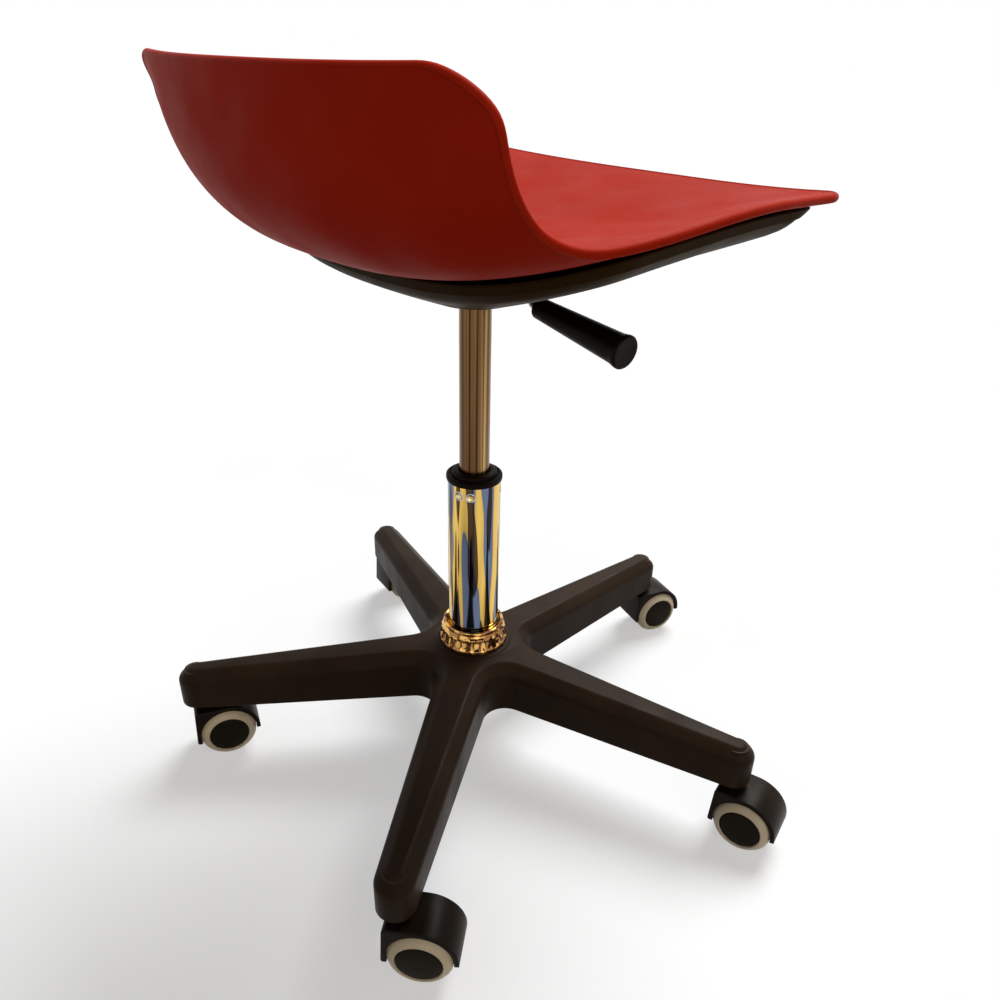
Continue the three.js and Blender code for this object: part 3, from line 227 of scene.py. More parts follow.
RED = plastic(
    "red shell", [(0.47, 0.018, 0.004), (0.50, 0.021, 0.005), (0.53, 0.025, 0.007)],
    rough=0.50, grain=1500, bump=0.08, edge_wear_and_highlight=0.12, specular=0.025,
)
BASE_BLACK = plastic(
    "base plastic", [(0.020, 0.011, 0.006), (0.027, 0.015, 0.008), (0.038, 0.022, 0.012)],
    rough=0.42, grain=1100, bump=0.18, edge_wear_and_highlight=0.6, specular=0.05,
)
COVER_BLACK = plastic(
    "cover plastic", [(0.026, 0.013, 0.003), (0.032, 0.016, 0.004), (0.040, 0.021, 0.006)],
    rough=0.5, grain=900, bump=0.25, edge_wear_and_highlight=0.4, specular=0.03,
)
GLOSS_BLACK = plastic(
    "gloss plastic", [(0.007, 0.004, 0.0018), (0.011, 0.0065, 0.003), (0.016, 0.010, 0.005)],
    rough=0.36, grain=1400, bump=0.05, edge_wear_and_highlight=0.5, specular=0.06,
)
GUIDE_BLACK = plastic(
    "guide plastic", [(0.005, 0.003, 0.001), (0.008, 0.004, 0.002), (0.012, 0.008, 0.004)],
    rough=0.40, grain=1300, bump=0.06, edge_wear_and_highlight=0.4, specular=0.04,
)
DISC_BLACK = plastic(
    "disc plastic", [(0.008, 0.006, 0.0025), (0.012, 0.009, 0.004), (0.017, 0.013, 0.006)],
    rough=0.42, grain=1200, bump=0.1, edge_wear_and_highlight=0.3, specular=0.05,
)
BEIGE = plastic(
    "tread plastic", [(0.78, 0.64, 0.44), (0.84, 0.71, 0.51), (0.89, 0.78, 0.59)],
    rough=0.38, grain=1200, bump=0.12, edge_wear_and_highlight=0.2, specular=0.35,
)
RUBBER = plastic(
    "rubber", [(0.010, 0.010, 0.010), (0.015, 0.015, 0.015), (0.022, 0.022, 0.022)],
    rough=0.8, grain=700, bump=0.3, edge_wear_and_highlight=0.1,
)
# Chrome with painted reflections in gold, blue-grey and dark streaks
CHROME_PAINTED_REFLECTIONS = painted_reflection_plating(
    "chrome", warm=(0.64, 0.42, 0.10), cool=(0.13, 0.17, 0.26), dark=(0.025, 0.012, 0.014),
    scale=92, stretch=0.085,
)
# Collar chrome with painted reflections, and painted shade in its wells and grooves
COLLAR_CHROME_PAINTED_LIGHT = painted_reflection_plating(
    "collar chrome", warm=(0.62, 0.36, 0.11), cool=(0.33, 0.16, 0.06), dark=(0.07, 0.015, 0.004),
    scale=110, stretch=0.8, hollow_shade=True,
)
# Ring chrome: bluish bright tones that paint a highlight on each crimp's ring
RING_PAINTED_HIGHLIGHT = metal(
    "ring chrome", [(0.16, 0.20, 0.27), (0.34, 0.40, 0.48), (0.62, 0.66, 0.70)],
    rough=0.08, brush=(1, 1, 1), grain=160, bump=0.01, spread=0.03, wide=60.0,
)
# Bowl chrome: dark to gold tones that paint a reflection in each crimp's bowl
BOWL_PAINTED_REFLECTION = metal(
    "bowl chrome", [(0.16, 0.05, 0.01), (0.62, 0.42, 0.14), (0.85, 0.68, 0.38)],
    rough=0.08, brush=(1, 1, 1), grain=190, bump=0.01, spread=0.03, wide=90.0,
)
# Satin steel with painted reflections: wide dark, brown and light stripes down the rod
SATIN_PAINTED_REFLECTIONS = metal(
    "satin steel", [(0.040, 0.016, 0.005), (0.18, 0.10, 0.042), (0.56, 0.37, 0.15)],
    rough=0.26, brush=(1, 1, 0.004), grain=380, bump=0.04, spread=0.06, wide=85.0, sharp=0.1,
)
DARK_STEEL = metal(
    "dark steel", [(0.03, 0.03, 0.032), (0.05, 0.05, 0.052), (0.09, 0.09, 0.092)],
    rough=0.5, brush=(1, 0.2, 1), grain=200, bump=0.1,
)
ZINC = metal(
    "zinc steel", [(0.42, 0.42, 0.40), (0.52, 0.52, 0.50), (0.62, 0.62, 0.60)],
    rough=0.35, brush=(1, 1, 0.2), grain=200, bump=0.05,
)


# Mesh building. Points are millimetres from the column's foot.
def finish_object(name, bm, material, body, nodes, sharp=34.0, turn=None):
    bmesh.ops.remove_doubles(bm, verts=bm.verts, dist=1e-4)
    if turn:
        bmesh.ops.transform(bm, matrix=turn, verts=bm.verts)
    bmesh.ops.translate(bm, vec=COLUMN, verts=bm.verts)
    bmesh.ops.scale(bm, vec=(MM, MM, MM), verts=bm.verts)
    for face in bm.faces:
        face.smooth = True
    limit = math.radians(sharp)
    for edge in bm.edges:
        if len(edge.link_faces) == 2 and edge.calc_face_angle(0.0) > limit:
            edge.smooth = False
    mesh = bpy.data.meshes.new(name)
    bm.to_mesh(mesh)
    bm.free()
    mesh.materials.append(material)
    piece = bpy.data.objects.new(name, mesh)
    bpy.context.scene.collection.objects.link(piece)
    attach(piece, body)
    if nodes:
        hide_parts(*nodes)


def filleted(points, steps=5):
    """Profile points (a, b, radius) with each corner rounded to its radius."""
    flat = [Vector((p[0], p[1])) for p in points]
    made = []
    count = len(points)
    for i, entry in enumerate(points):
        radius = entry[2] if len(entry) > 2 else 0.0
        here = flat[i]
        before = flat[(i - 1) % count] - here
        after = flat[(i + 1) % count] - here
        if radius <= 0 or before.length < 1e-6 or after.length < 1e-6:
            made.append((here.x, here.y))
            continue
        half = before.angle(after) / 2
        reach = min(radius / math.tan(half), 0.49 * before.length, 0.49 * after.length)
        start = here + before.normalized() * reach
        end = here + after.normalized() * reach
        for k in range(steps + 1):
            t = k / steps
            p = start * (1 - t) ** 2 + here * (2 * t * (1 - t)) + end * t**2
            made.append((p.x, p.y))
    return made


def add_lathe(bm, profile, segments, place=None):
    """Turns a profile of (radius, height) about Z, closed where it starts off the axis."""
    place = place or Matrix.Identity(4)
    rings = []
    for r, z in profile:
        if r < 1e-6:
            rings.append([bm.verts.new(place @ Vector((0, 0, z)))] * segments)
            continue
        ring = []
        for k in range(segments):
            angle = 2 * math.pi * k / segments
            ring.append(bm.verts.new(place @ Vector((r * math.cos(angle), r * math.sin(angle), z))))
        rings.append(ring)
    pairs = list(zip(rings, rings[1:]))
    if profile[0][0] > 1e-6:
        pairs.append((rings[-1], rings[0]))
    for lower, upper in pairs:
        for k in range(segments):
            n = (k + 1) % segments
            corners = []
            for v in (lower[k], lower[n], upper[n], upper[k]):
                if v not in corners:
                    corners.append(v)
            if len(corners) >= 3:
                bm.faces.new(corners)


def outward(bm):
    bmesh.ops.recalc_face_normals(bm, faces=bm.faces)


def bridge(bm, rings, close=False):
    """Faces between each ring and the next, and from the last to the first if closed."""
    for lower, upper in zip(rings, rings[1:] + (rings[:1] if close else [])):
        count = len(lower)
        for k in range(count):
            n = (k + 1) % count
            bm.faces.new((lower[k], lower[n], upper[n], upper[k]))


def cap(bm, ring, hole):
    """Flat faces between a ring and a hole in it."""
    verts = list(ring) + list(hole)
    for a, b, c in tessellate_polygon([[v.co for v in ring], [v.co for v in hole]]):
        bm.faces.new((verts[a], verts[b], verts[c]))


def lathe_piece(name, points, segments, material, body, nodes, steps=5, place=None):
    bm = bmesh.new()
    add_lathe(bm, filleted(points, steps), segments, place)
    outward(bm)
    finish_object(name, bm, material, body, nodes)


def add_block(bm, low, high, place=None, bevel=0.0):
    place = place or Matrix.Identity(4)
    corners = [
        Vector((x, y, z))
        for x in (low[0], high[0])
        for y in (low[1], high[1])
        for z in (low[2], high[2])
    ]
    verts = [bm.verts.new(place @ c) for c in corners]
    faces = [(0, 1, 3, 2), (4, 6, 7, 5), (0, 4, 5, 1), (2, 3, 7, 6), (0, 2, 6, 4), (1, 5, 7, 3)]
    made = [bm.faces.new([verts[i] for i in f]) for f in faces]
    if bevel:
        edges = list({e for f in made for e in f.edges})
        bmesh.ops.bevel(bm, geom=edges, offset=bevel, segments=2, affect="EDGES")


def cut(target_bm, cutter_bm):
    """The first mesh with the second cut from it."""
    objects = []
    for i, bm in enumerate((target_bm, cutter_bm)):
        mesh = bpy.data.meshes.new(f"cut_{i}")
        bm.to_mesh(mesh)
        bm.free()
        made = bpy.data.objects.new(f"cut_{i}", mesh)
        bpy.context.scene.collection.objects.link(made)
        objects.append(made)
    modifier = objects[0].modifiers.new("cut", "BOOLEAN")
    modifier.operation = "DIFFERENCE"
    modifier.solver = "MANIFOLD"
    modifier.object = objects[1]
    graph = bpy.context.evaluated_depsgraph_get()
    result = bpy.data.meshes.new_from_object(objects[0].evaluated_get(graph))
    bm = bmesh.new()
    bm.from_mesh(result)
    for made in objects:
        data = made.data
        bpy.data.objects.remove(made)
        bpy.data.meshes.remove(data)
    bpy.data.meshes.remove(result)
    return bm


def about_z(degrees):
    return Matrix.Rotation(math.radians(degrees), 4, "Z")


def mixed(a, b, share):
    return a + (b - a) * share


def on_circle(centre, radius, angle):
    return centre[0] + radius * math.cos(angle), centre[1] + radius * math.sin(angle)


def arc(centre, radius, start, end, count):
    """Points on a circle from one angle to another, with both ends."""
    return [on_circle(centre, radius, mixed(start, end, k / count)) for k in range(count + 1)]


def circle(radius, count):
    return [on_circle((0, 0), radius, 2 * math.pi * k / count) for k in range(count)]


def line_points(a, b, count):
    """Points on a straight line, without its last one."""
    return [(mixed(a[0], b[0], k / count), mixed(a[1], b[1], k / count)) for k in range(count)]


def bezier(points, count):
    """Points on a curve of three or four handles, without its last one."""
    made = []
    for k in range(count):
        t = k / count
        if len(points) == 3:
            weights = ((1 - t) ** 2, 2 * t * (1 - t), t**2)
        else:
            weights = ((1 - t) ** 3, 3 * t * (1 - t) ** 2, 3 * t**2 * (1 - t), t**3)
        x = sum(w * p[0] for w, p in zip(weights, points))
        y = sum(w * p[1] for w, p in zip(weights, points))
        made.append((x, y))
    return made


# Seat shell
SEAT_MIDDLE = dict(front=(222, 556), knee=(-190, 513), top=(-195, 644), bend=75, sag=8, bulge=0)
SEAT_RIM = dict(front=(186, 566), knee=(-144, 552), top=(-163, 648), bend=71, sag=-7.5, bulge=-3)
FRONT_HALF, WAIST_HALF, BEND_HALF, TOP_HALF = 211, 223, 204, 216
TOP_CORNER, FRONT_CORNER = 51, 21
SEAT_WALL, RIM_WALL = 5, 7
DISH_POWER, RISE_POWER = 2.3, 2.7
PLATE_HEIGHT, PLATE_THICKNESS = 505, 2.5
GROOVE_SIDE, GROOVE_WIDE, GROOVE_DEPTH, GROOVE_END = 0.945, 0.0045, 1.1, 0.9
# Screw bosses under the shell: places, bore, foot and root
BOSS_SIDE, BOSS_ALONG, BOSS_BORE, BOSS_FOOT, BOSS_ROOT = 52, 43, 3.3, 8, 8.6


class Profile:
    """A straight pan, a bend tangent to it and a straight back."""

    def __init__(self, line):
        self.front = Vector(line["front"])
        knee = Vector(line["knee"])
        self.top = Vector(line["top"])
        self.sag = line["sag"]
        self.bulge = line["bulge"]
        self.bend = line["bend"]
        to_front = (self.front - knee).normalized()
        to_top = (self.top - knee).normalized()
        half = to_front.angle(to_top) / 2
        tangent = self.bend / math.tan(half)
        self.bend_start = knee + to_front * tangent
        self.bend_end = knee + to_top * tangent
        self.centre = knee + (to_front + to_top).normalized() * (self.bend / math.sin(half))
        arm = self.bend_start - self.centre
        self.start = math.atan2(arm.y, arm.x)
        self.sweep = math.pi - 2 * half
        self.pan_length = (self.front - self.bend_start).length
        self.bend_length = self.bend * self.sweep
        self.back_length = (self.top - self.bend_end).length

    def at(self, stage):
        """The line with its speed evened out where its three parts meet."""
        reach = min(0.16, stage, 3 - stage)
        if reach < 1e-4:
            return self.plain(stage)
        total = Vector((0, 0))
        weights = 0.0
        for k in range(-4, 5):
            weight = math.cos(k * math.pi / 10) ** 2
            total += self.plain(stage + reach * k / 4) * weight
            weights += weight
        return total / weights

    def plain(self, stage):
        if stage <= 1:
            p = self.front.lerp(self.bend_start, stage)
            return Vector((p.x, p.y - self.sag * math.sin(math.pi * stage) ** 2))
        if stage <= 2:
            angle = self.start - self.sweep * (stage - 1)
            return self.centre + Vector((math.cos(angle), math.sin(angle))) * self.bend
        p = self.bend_end.lerp(self.top, stage - 2)
        return Vector((p.x - self.bulge * math.sin(math.pi * (stage - 2)) ** 2, p.y))


MIDDLE = Profile(SEAT_MIDDLE)
RIM = Profile(SEAT_RIM)


def seat_half(stage):
    stages = [0, (RIM.pan_length + RIM.bend_length / 2) / (2 * RIM.pan_length), 1.5, 3]
    halves = [FRONT_HALF, WAIST_HALF, BEND_HALF, TOP_HALF]
    i = 0 if stage < stages[1] else 1 if stage < stages[2] else 2
    share = (stage - stages[i]) / (stages[i + 1] - stages[i])
    return mixed(halves[i], halves[i + 1], (1 - math.cos(math.pi * share)) / 2)


def seat_edge(stage):
    in_front = max(0.0, 1 - stage * RIM.pan_length / FRONT_CORNER)
    in_top = max(0.0, 1 - (3 - stage) * RIM.back_length / TOP_CORNER)

    def lost(radius, share):
        return radius * (1 - math.sqrt(1 - min(1.0, share) ** 2))

    return seat_half(stage) - lost(FRONT_CORNER, in_front) - lost(TOP_CORNER, in_top)


def seat_point(stage, side):
    middle = MIDDLE.at(stage)
    rim = RIM.at(stage)
    half = seat_edge(stage)
    share = abs(side) * min(1.0, half / seat_half(stage))
    forward = mixed(middle.x, rim.x, share**DISH_POWER)
    height = mixed(middle.y, rim.y, share**RISE_POWER)
    return Vector((half * side, -forward, height))


def seat_normal(stage, side):
    step = 1e-3
    s = min(3 - step, max(step, stage))
    t = min(1 - step, max(step - 1, side))
    along = seat_point(s + step, t) - seat_point(s - step, t)
    across = seat_point(s, t + step) - seat_point(s, t - step)
    return across.cross(along).normalized()


def seat_height_at(x, y):
    """Height of the shell's middle skin over a place, found by halving the stages."""
    low, high = 0.0, 2.0
    halvings = 26
    for _ in range(halvings):
        stage = (low + high) / 2
        side = min(1.0, max(-1.0, x / seat_edge(stage)))
        point = seat_point(stage, side)
        if point.y < y:
            low = stage
        else:
            high = stage
    return point.z


def seat_stages():
    """Stages from the front edge (0) over the bend (1 to 2) to the top edge (3)."""
    front = FRONT_CORNER / RIM.pan_length
    top = TOP_CORNER / RIM.back_length
    stages = [0.0]
    stages += [front * (1 - math.cos(math.pi * (i + 1) / 18)) for i in range(9)]
    stages += [mixed(front, 1, (i + 1) / 34) for i in range(34)]
    stages += [1 + (i + 1) / 30 for i in range(30)]
    turn = math.asin(1 - 1 / top)
    stages += [3 - top * (1 - math.sin(mixed(turn, math.pi / 2, (i + 1) / 18))) for i in range(18)]
    return stages


def seat_groove(stage, side):
    """Depth of the moulded line that runs beside each side edge of the pan."""
    fade = min(1.0, max(0.0, (GROOVE_END - stage) / 0.12)) * min(1.0, stage / 0.05)
    return -GROOVE_DEPTH * fade * math.exp(-(((abs(side) - GROOVE_SIDE) / GROOVE_WIDE) ** 2))


def seat_sides():
    """Places across the seat, from -1 to 1: closer at the edges, closest at the moulded line."""
    columns = 72
    edge_angle = math.radians(80)
    sides = []
    for j in range(columns + 1):
        sides.append(math.sin(edge_angle * (2 * j / columns - 1)) / math.sin(edge_angle))
    clear = [side for side in sides if abs(abs(side) - GROOVE_SIDE) > 3 * GROOVE_WIDE]
    line = [GROOVE_SIDE + GROOVE_WIDE * k * 0.6 for k in range(-4, 5)]
    return sorted(clear + line + [-side for side in line])


def seat_skins(bm, stages, sides):
    upper, lower = [], []
    for s in stages:
        top_row, under_row = [], []
        for t in sides:
            point = seat_point(s, t)
            normal = seat_normal(s, t)
            top_row.append(bm.verts.new(point + normal * (SEAT_WALL / 2 + seat_groove(s, t))))
            under_row.append(bm.verts.new(point - normal * SEAT_WALL / 2))
        upper.append(top_row)
        lower.append(under_row)
    for i in range(len(stages) - 1):
        for j in range(len(sides) - 1):
            bm.faces.new((upper[i][j], upper[i][j + 1], upper[i + 1][j + 1], upper[i + 1][j]))
            bm.faces.new((lower[i][j], lower[i + 1][j], lower[i + 1][j + 1], lower[i][j + 1]))
    return upper, lower


def seat_roll(bm, stages, sides, upper, lower):
    """The rolled rim that joins the two skins all the way round."""
    columns, last = len(sides) - 1, len(stages) - 1
    loop = [(0, j) for j in range(columns)] + [(i, columns) for i in range(last)]
    loop += [(last, j) for j in range(columns, 0, -1)] + [(i, 0) for i in range(last, 0, -1)]
    count = len(loop)
    places = [seat_point(stages[i], sides[j]) for i, j in loop]
    rows = []
    for n, (i, j) in enumerate(loop):
        normal = seat_normal(stages[i], sides[j])
        along = (places[(n + 1) % count] - places[n - 1]).normalized()
        out = along.cross(normal).normalized()
        row = [upper[i][j]]
        for k in range(9):
            angle = math.radians(70 - 140 * k / 8)
            rise = normal * (math.sin(angle) * RIM_WALL / 2)
            row.append(bm.verts.new(places[n] + rise + out * (math.cos(angle) * RIM_WALL / 2)))
        row.append(lower[i][j])
        rows.append(row)
    for n in range(count):
        here, there = rows[n], rows[(n + 1) % count]
        for k in range(len(here) - 1):
            bm.faces.new((here[k], here[k + 1], there[k + 1], there[k]))


def seat_shell():
    bm = bmesh.new()
    stages = seat_stages()
    sides = seat_sides()
    upper, lower = seat_skins(bm, stages, sides)
    seat_roll(bm, stages, sides, upper, lower)
    outward(bm)
    foot = PLATE_HEIGHT + PLATE_THICKNESS + 0.3
    for x in (-BOSS_SIDE, BOSS_SIDE):
        for y in (-BOSS_ALONG, BOSS_ALONG):
            top = seat_height_at(x, y) - 1
            boss = [
                (BOSS_BORE, foot + 14), (BOSS_BORE, foot, 0.4), (BOSS_FOOT, foot, 0.6),
                (BOSS_ROOT, top), (BOSS_BORE, top),
            ]
            add_lathe(bm, filleted(boss, 3), 32, Matrix.Translation((x, y, 0)))
    finish_object("shell_moulded", bm, RED, "seat", ["seat_shell"], 60)


# Under-seat cover
COVER_REAR, COVER_FRONT_INSET, COVER_SIDE_INSET = 110, 9, 11
COVER_REAR_CORNER, COVER_REAR_FULL, COVER_FRONT_CORNER = 70, 0.6, 42
COVER_GAP, COVER_WALL, COVER_LIP, COVER_FLOOR, COVER_FLOOR_RADIUS = 2.5, 3, 11.5, 470, 34
COVER_HOLE, COVER_DRAW, NECK, COVER_FULL, COVER_REAR_GAP = 19.4, 0.15, 2.6, 0.94, 2.6
COVER_REACH = SEAT_RIM["front"][0] - COVER_FRONT_INSET
# Shares of the way out to the edge, the last of which round into the lip, and shares of the lip's rise
UNDER_SHARES = (0.2, 0.24, 0.3, 0.4, 0.5, 0.62, 0.74, 0.85, 0.92, 0.955, 0.975, 0.99, 1.0)
LIP_ROUND, LIP_ROUND_FROM = 4.5, 0.92
LIP_SHARES = (0.45, 0.62, 0.8, 0.92)
# Two corners of the block that cuts the lever's slot, and the posts that meet the plate
LEVER_SLOT = ((-57, -48, 435), (-15, -24, 505))
POST_SIDE, POST_ALONG, POST = 40, 8, 5


def cover_outline(inset):
    half = (WAIST_HALF + FRONT_HALF) / 2 - COVER_SIDE_INSET - inset
    full = half * COVER_REAR_FULL
    front = inset - COVER_REACH
    rear = COVER_REAR - inset
    corner = COVER_FRONT_CORNER - inset
    side_end = rear - COVER_REAR_CORNER
    rear_curve = [(half, side_end), (half, rear - COVER_REAR_CORNER / 4), (full, rear), (0, rear)]
    points = line_points((-half + corner, front), (half - corner, front), 22)
    points += bezier([(half - corner, front), (half, front), (half, front + corner)], 14)
    points += line_points((half, front + corner), (half, side_end), 16)
    points += bezier(rear_curve, 26)
    points += bezier([(-x, y) for x, y in rear_curve[::-1]], 26)
    points += line_points((-half, side_end), (-half, front + corner), 16)
    points += bezier([(-half, front + corner), (-half, front), (-half + corner, front)], 14)
    return points


def cover_edge(x, y):
    """Height of the cover's edge, which keeps a gap to the shell that grows to the rear."""
    rear = min(1.0, max(0.0, y / COVER_REAR))
    return seat_height_at(x, y) - SEAT_WALL / 2 - COVER_GAP - COVER_REAR_GAP * rear**1.5


def drawn(p, share, amount):
    """The place of an outline point, its front leaning back by an amount."""
    lean = 1 - amount * COVER_DRAW * max(0.0, -p[1] / COVER_REACH) ** 2
    return p[0] * share, p[1] * lean * share


def cover_skin(wall):
    """Rings from the floor's hole out over the underside and up the lip."""
    outline = cover_outline(wall)
    edge = [cover_edge(*p) for p in outline]
    floor = COVER_FLOOR + wall
    neck = floor + NECK
    rings = []
    for radius, height in (
        (COVER_HOLE, floor),
        (COVER_HOLE + 1.2, floor),
        (COVER_HOLE + 3.2, neck),
        (COVER_FLOOR_RADIUS - 1, neck),
    ):
        rings.append([Vector((*p, 0)).normalized() * radius + Vector((0, 0, height)) for p in outline])
    for share in UNDER_SHARES:
        ring = []
        for p, level in zip(outline, edge):
            floor_share = COVER_FLOOR_RADIUS / math.hypot(*p)
            t = min(1.0, (1 - share) / (1 - floor_share)) ** COVER_FULL
            rounding = LIP_ROUND * max(0.0, (share - LIP_ROUND_FROM) / (1 - LIP_ROUND_FROM)) ** 2.4
            x, y = drawn(p, max(share, floor_share), share**2)
            ring.append(Vector((x, y, mixed(level - COVER_LIP + wall, neck, t) + rounding)))
        rings.append(ring)
    for share in LIP_SHARES:
        amount = 0.95 * (1 - (share - 0.3) / 0.7) ** 1.3
        ring = []
        for p, level in zip(outline, edge):
            x, y = drawn(p, 1, amount)
            ring.append(Vector((x, y, mixed(level - COVER_LIP, level, share))))
        rings.append(ring)
    return rings, outline, edge


def edge_ring(outline, edge, share, drop):
    return [Vector((p[0] * share, p[1] * share, level - drop)) for p, level in zip(outline, edge)]


def seat_cover():
    outer, outline, edge = cover_skin(0)
    inner, inner_outline, _ = cover_skin(COVER_WALL)
    crown = [edge_ring(outline, edge, 0.9985, 0.5), edge_ring(outline, edge, 0.995, 0.0)]
    crown.append(edge_ring(inner_outline, edge, 1.0, 0.3))
    bm = bmesh.new()
    rings = outer + crown + inner[:-2][::-1]
    bridge(bm, [[bm.verts.new(p) for p in ring] for ring in rings], close=True)
    outward(bm)
    slot = bmesh.new()
    add_block(slot, *LEVER_SLOT)
    bm = cut(bm, slot)
    foot, head = COVER_FLOOR + 9, PLATE_HEIGHT - 0.3
    post = filleted([(0, foot), (POST, foot), (POST, head, 0.5), (0, head)], 2)
    for x in (-POST_SIDE, POST_SIDE):
        for y in (-POST_ALONG, POST_ALONG):
            add_lathe(bm, post, 20, Matrix.Translation((x, y, 0)))
    finish_object("cover_moulded", bm, COVER_BLACK, "seat", ["seat_cover"], 30)


# Star base
ARMS = 5
STEM_CIRCLE, ARM_TIP, ARM_HUB, ARM_UNDER, HUB_TOP = 282.4, 16.9, 27, 65.6, 123.4
TOP_DROP, CHAMFER_DROP, CHAMFER_WIDE, WEB, BASE_WALL, ROOF = 0.06, 9.4, 10.8, 23, 4, 5
LOW_ROUND, HIGH_ROUND, HUB_PAD, HUB_SLEEVE = 4.2, 3.6, 41, 31
RIB_HALF, RIB_END, RIB_ROUND = 1.5, 278, 0.5
# Direction of the first arm
BASE_TURN = 1.7 - 90


def base_outline(inset):
    """Plan of the base, anticlockwise, with every edge drawn in by an inset."""
    pitch = 2 * math.pi / ARMS
    lean = math.asin((ARM_HUB - ARM_TIP) / STEM_CIRCLE)
    quarter = math.pi / 2
    tip_radius = ARM_TIP - inset
    web = WEB + inset
    web_centre = (ARM_HUB - inset + web) / math.sin(pitch / 2 + lean)
    points = []
    for k in range(ARMS):
        arm = pitch * k
        next_arm = arm + pitch
        tip_centre = on_circle((0, 0), STEM_CIRCLE, arm)
        tip = arc(tip_centre, tip_radius, arm - quarter + lean, arm + quarter - lean, 22)
        valley_centre = on_circle((0, 0), web_centre, arm + pitch / 2)
        valley = arc(valley_centre, web, arm + 3 * quarter - lean, next_arm + quarter + lean, 16)
        next_centre = on_circle((0, 0), STEM_CIRCLE, next_arm)
        next_tip = on_circle(next_centre, tip_radius, next_arm - quarter + lean)
        points += tip[:-1] + line_points(tip[-1], valley[0], 10)
        points += valley[:-1] + line_points(valley[-1], next_tip, 10)
    return points


def arm_top(radius):
    return HUB_TOP - TOP_DROP * radius


def arm_under(radius):
    return mixed(ARM_UNDER + BASE_WALL, ARM_UNDER, min(1.0, radius / STEM_CIRCLE))


def base_level(bm, inset, height_of):
    ring = []
    for x, y in base_outline(inset):
        ring.append(bm.verts.new((x, y, height_of(math.hypot(x, y)))))
    return ring


def below_top(drop):
    return lambda radius: arm_top(radius) - drop


def above_under(rise):
    return lambda radius: arm_under(radius) + rise


def hub_circle(bm, radius, height):
    return [bm.verts.new((x, y, height)) for x, y in circle(radius, 96)]


def base_sides():
    """Insets and heights of the sides, from the lower edge over the chamfer to the top."""
    slope = math.hypot(CHAMFER_WIDE, CHAMFER_DROP)
    steps = 6
    levels = [(1.2, arm_under), (0.35, above_under(0.35)), (0.0, above_under(1.2))]
    for k in range(steps + 1):
        t = k / steps
        along = LOW_ROUND * t**2 / slope
        drop = CHAMFER_DROP + LOW_ROUND * (1 - t) ** 2 - along * CHAMFER_DROP
        levels.append((along * CHAMFER_WIDE, below_top(drop)))
    for k in range(steps + 1):
        t = k / steps
        back = HIGH_ROUND * (1 - t) ** 2 / slope
        inset = CHAMFER_WIDE - back * CHAMFER_WIDE + HIGH_ROUND * 0.55 * t**2
        levels.append((inset, below_top(back * CHAMFER_DROP)))
    return levels


def base_ribs(bm):
    """Under each arm a rib along it, two across it and the socket of its caster stem."""
    top = arm_top(STEM_CIRCLE) - ROOF / 2
    bottom = mixed(top, ARM_UNDER, 0.6)
    for k in range(ARMS):
        turn = about_z(360 / ARMS * k)
        add_block(bm, (ARM_HUB, -RIB_HALF, bottom), (RIB_END, RIB_HALF, top), turn, RIB_ROUND)
        for share in (0.42, 0.7):
            half = mixed(ARM_HUB, ARM_TIP, share) - 2
            radius = STEM_CIRCLE * share
            high = (radius + RIB_HALF, half, top - CHAMFER_DROP)
            add_block(bm, (radius - RIB_HALF, -half, bottom), high, turn, RIB_ROUND)
        socket = [(5.6, ARM_UNDER, 0.3), (9.5, ARM_UNDER, 0.6), (10.2, top), (5.6, top)]
        add_lathe(bm, filleted(socket, 3), 32, turn @ Matrix.Translation((STEM_CIRCLE, 0, 0)))


def star_base():
    bm = bmesh.new()
    rings = [base_level(bm, inset, height_of) for inset, height_of in base_sides()]
    bridge(bm, rings)
    pad = hub_circle(bm, HUB_PAD, arm_top(HUB_PAD) - 0.05)
    cap(bm, rings[-1], pad)
    # From the raised pad down the hub's bore and up the outside of its sleeve
    section = [
        (39.5, 121.4), (38.2, 122.5), (37.2, 123.1), (36.3, 123.35), (35, HUB_TOP), (25.3, HUB_TOP),
        (25.3, 118), (23.7, 60), (25, 58.6), (29.8, 58.6), (HUB_SLEEVE, 60),
        (HUB_SLEEVE, arm_top(HUB_SLEEVE) - ROOF),
    ]
    hub = [pad] + [hub_circle(bm, radius, height) for radius, height in section]
    bridge(bm, hub)
    inside = [
        (2.8, arm_under),
        (BASE_WALL, above_under(1.2)),
        (BASE_WALL + 0.6, below_top(CHAMFER_DROP + ROOF)),
        (BASE_WALL + CHAMFER_WIDE, below_top(ROOF)),
    ]
    inner = [rings[0]] + [base_level(bm, inset, height_of) for inset, height_of in inside]
    bridge(bm, inner)
    cap(bm, inner[-1], hub[-1])
    outward(bm)
    base_ribs(bm)
    turn = about_z(BASE_TURN)
    finish_object("base_moulded", bm, BASE_BLACK, "base", ["star_base"], 22, turn)


# Outer tube, bushing and collar
TUBE, TUBE_BORE, TUBE_FOOT, TUBE_FLOOR, TUBE_TAPER, TUBE_END = 25, 23.5, 60, 63, 118, 306
CLIP_HOLE = 4.4
CRIMP_HEIGHT, CRIMP_FIRST, CRIMP_APART, CRIMP_DEPTH, CRIMP_REACH = 297, 119, 14, 1.5, 3.7
# Profiles of a crimp's ring, bright with a painted highlight, and of the bowl in it: distance from its
# middle, height off the tube
CRIMP_RING = [
    (2.9, -0.9), (3.2, -0.35, 0.2), (3.6, 0.16, 0.25), (4.0, 0.34, 0.2), (4.5, 0.16, 0.2),
    (4.8, -0.25), (3.9, -0.9),
]
CRIMP_BOWL = [(0, -1.15), (1.4, -1.0, 0.4), (2.4, -0.6, 0.3), (3.0, -0.15), (3.0, -1.4), (0, -1.4)]


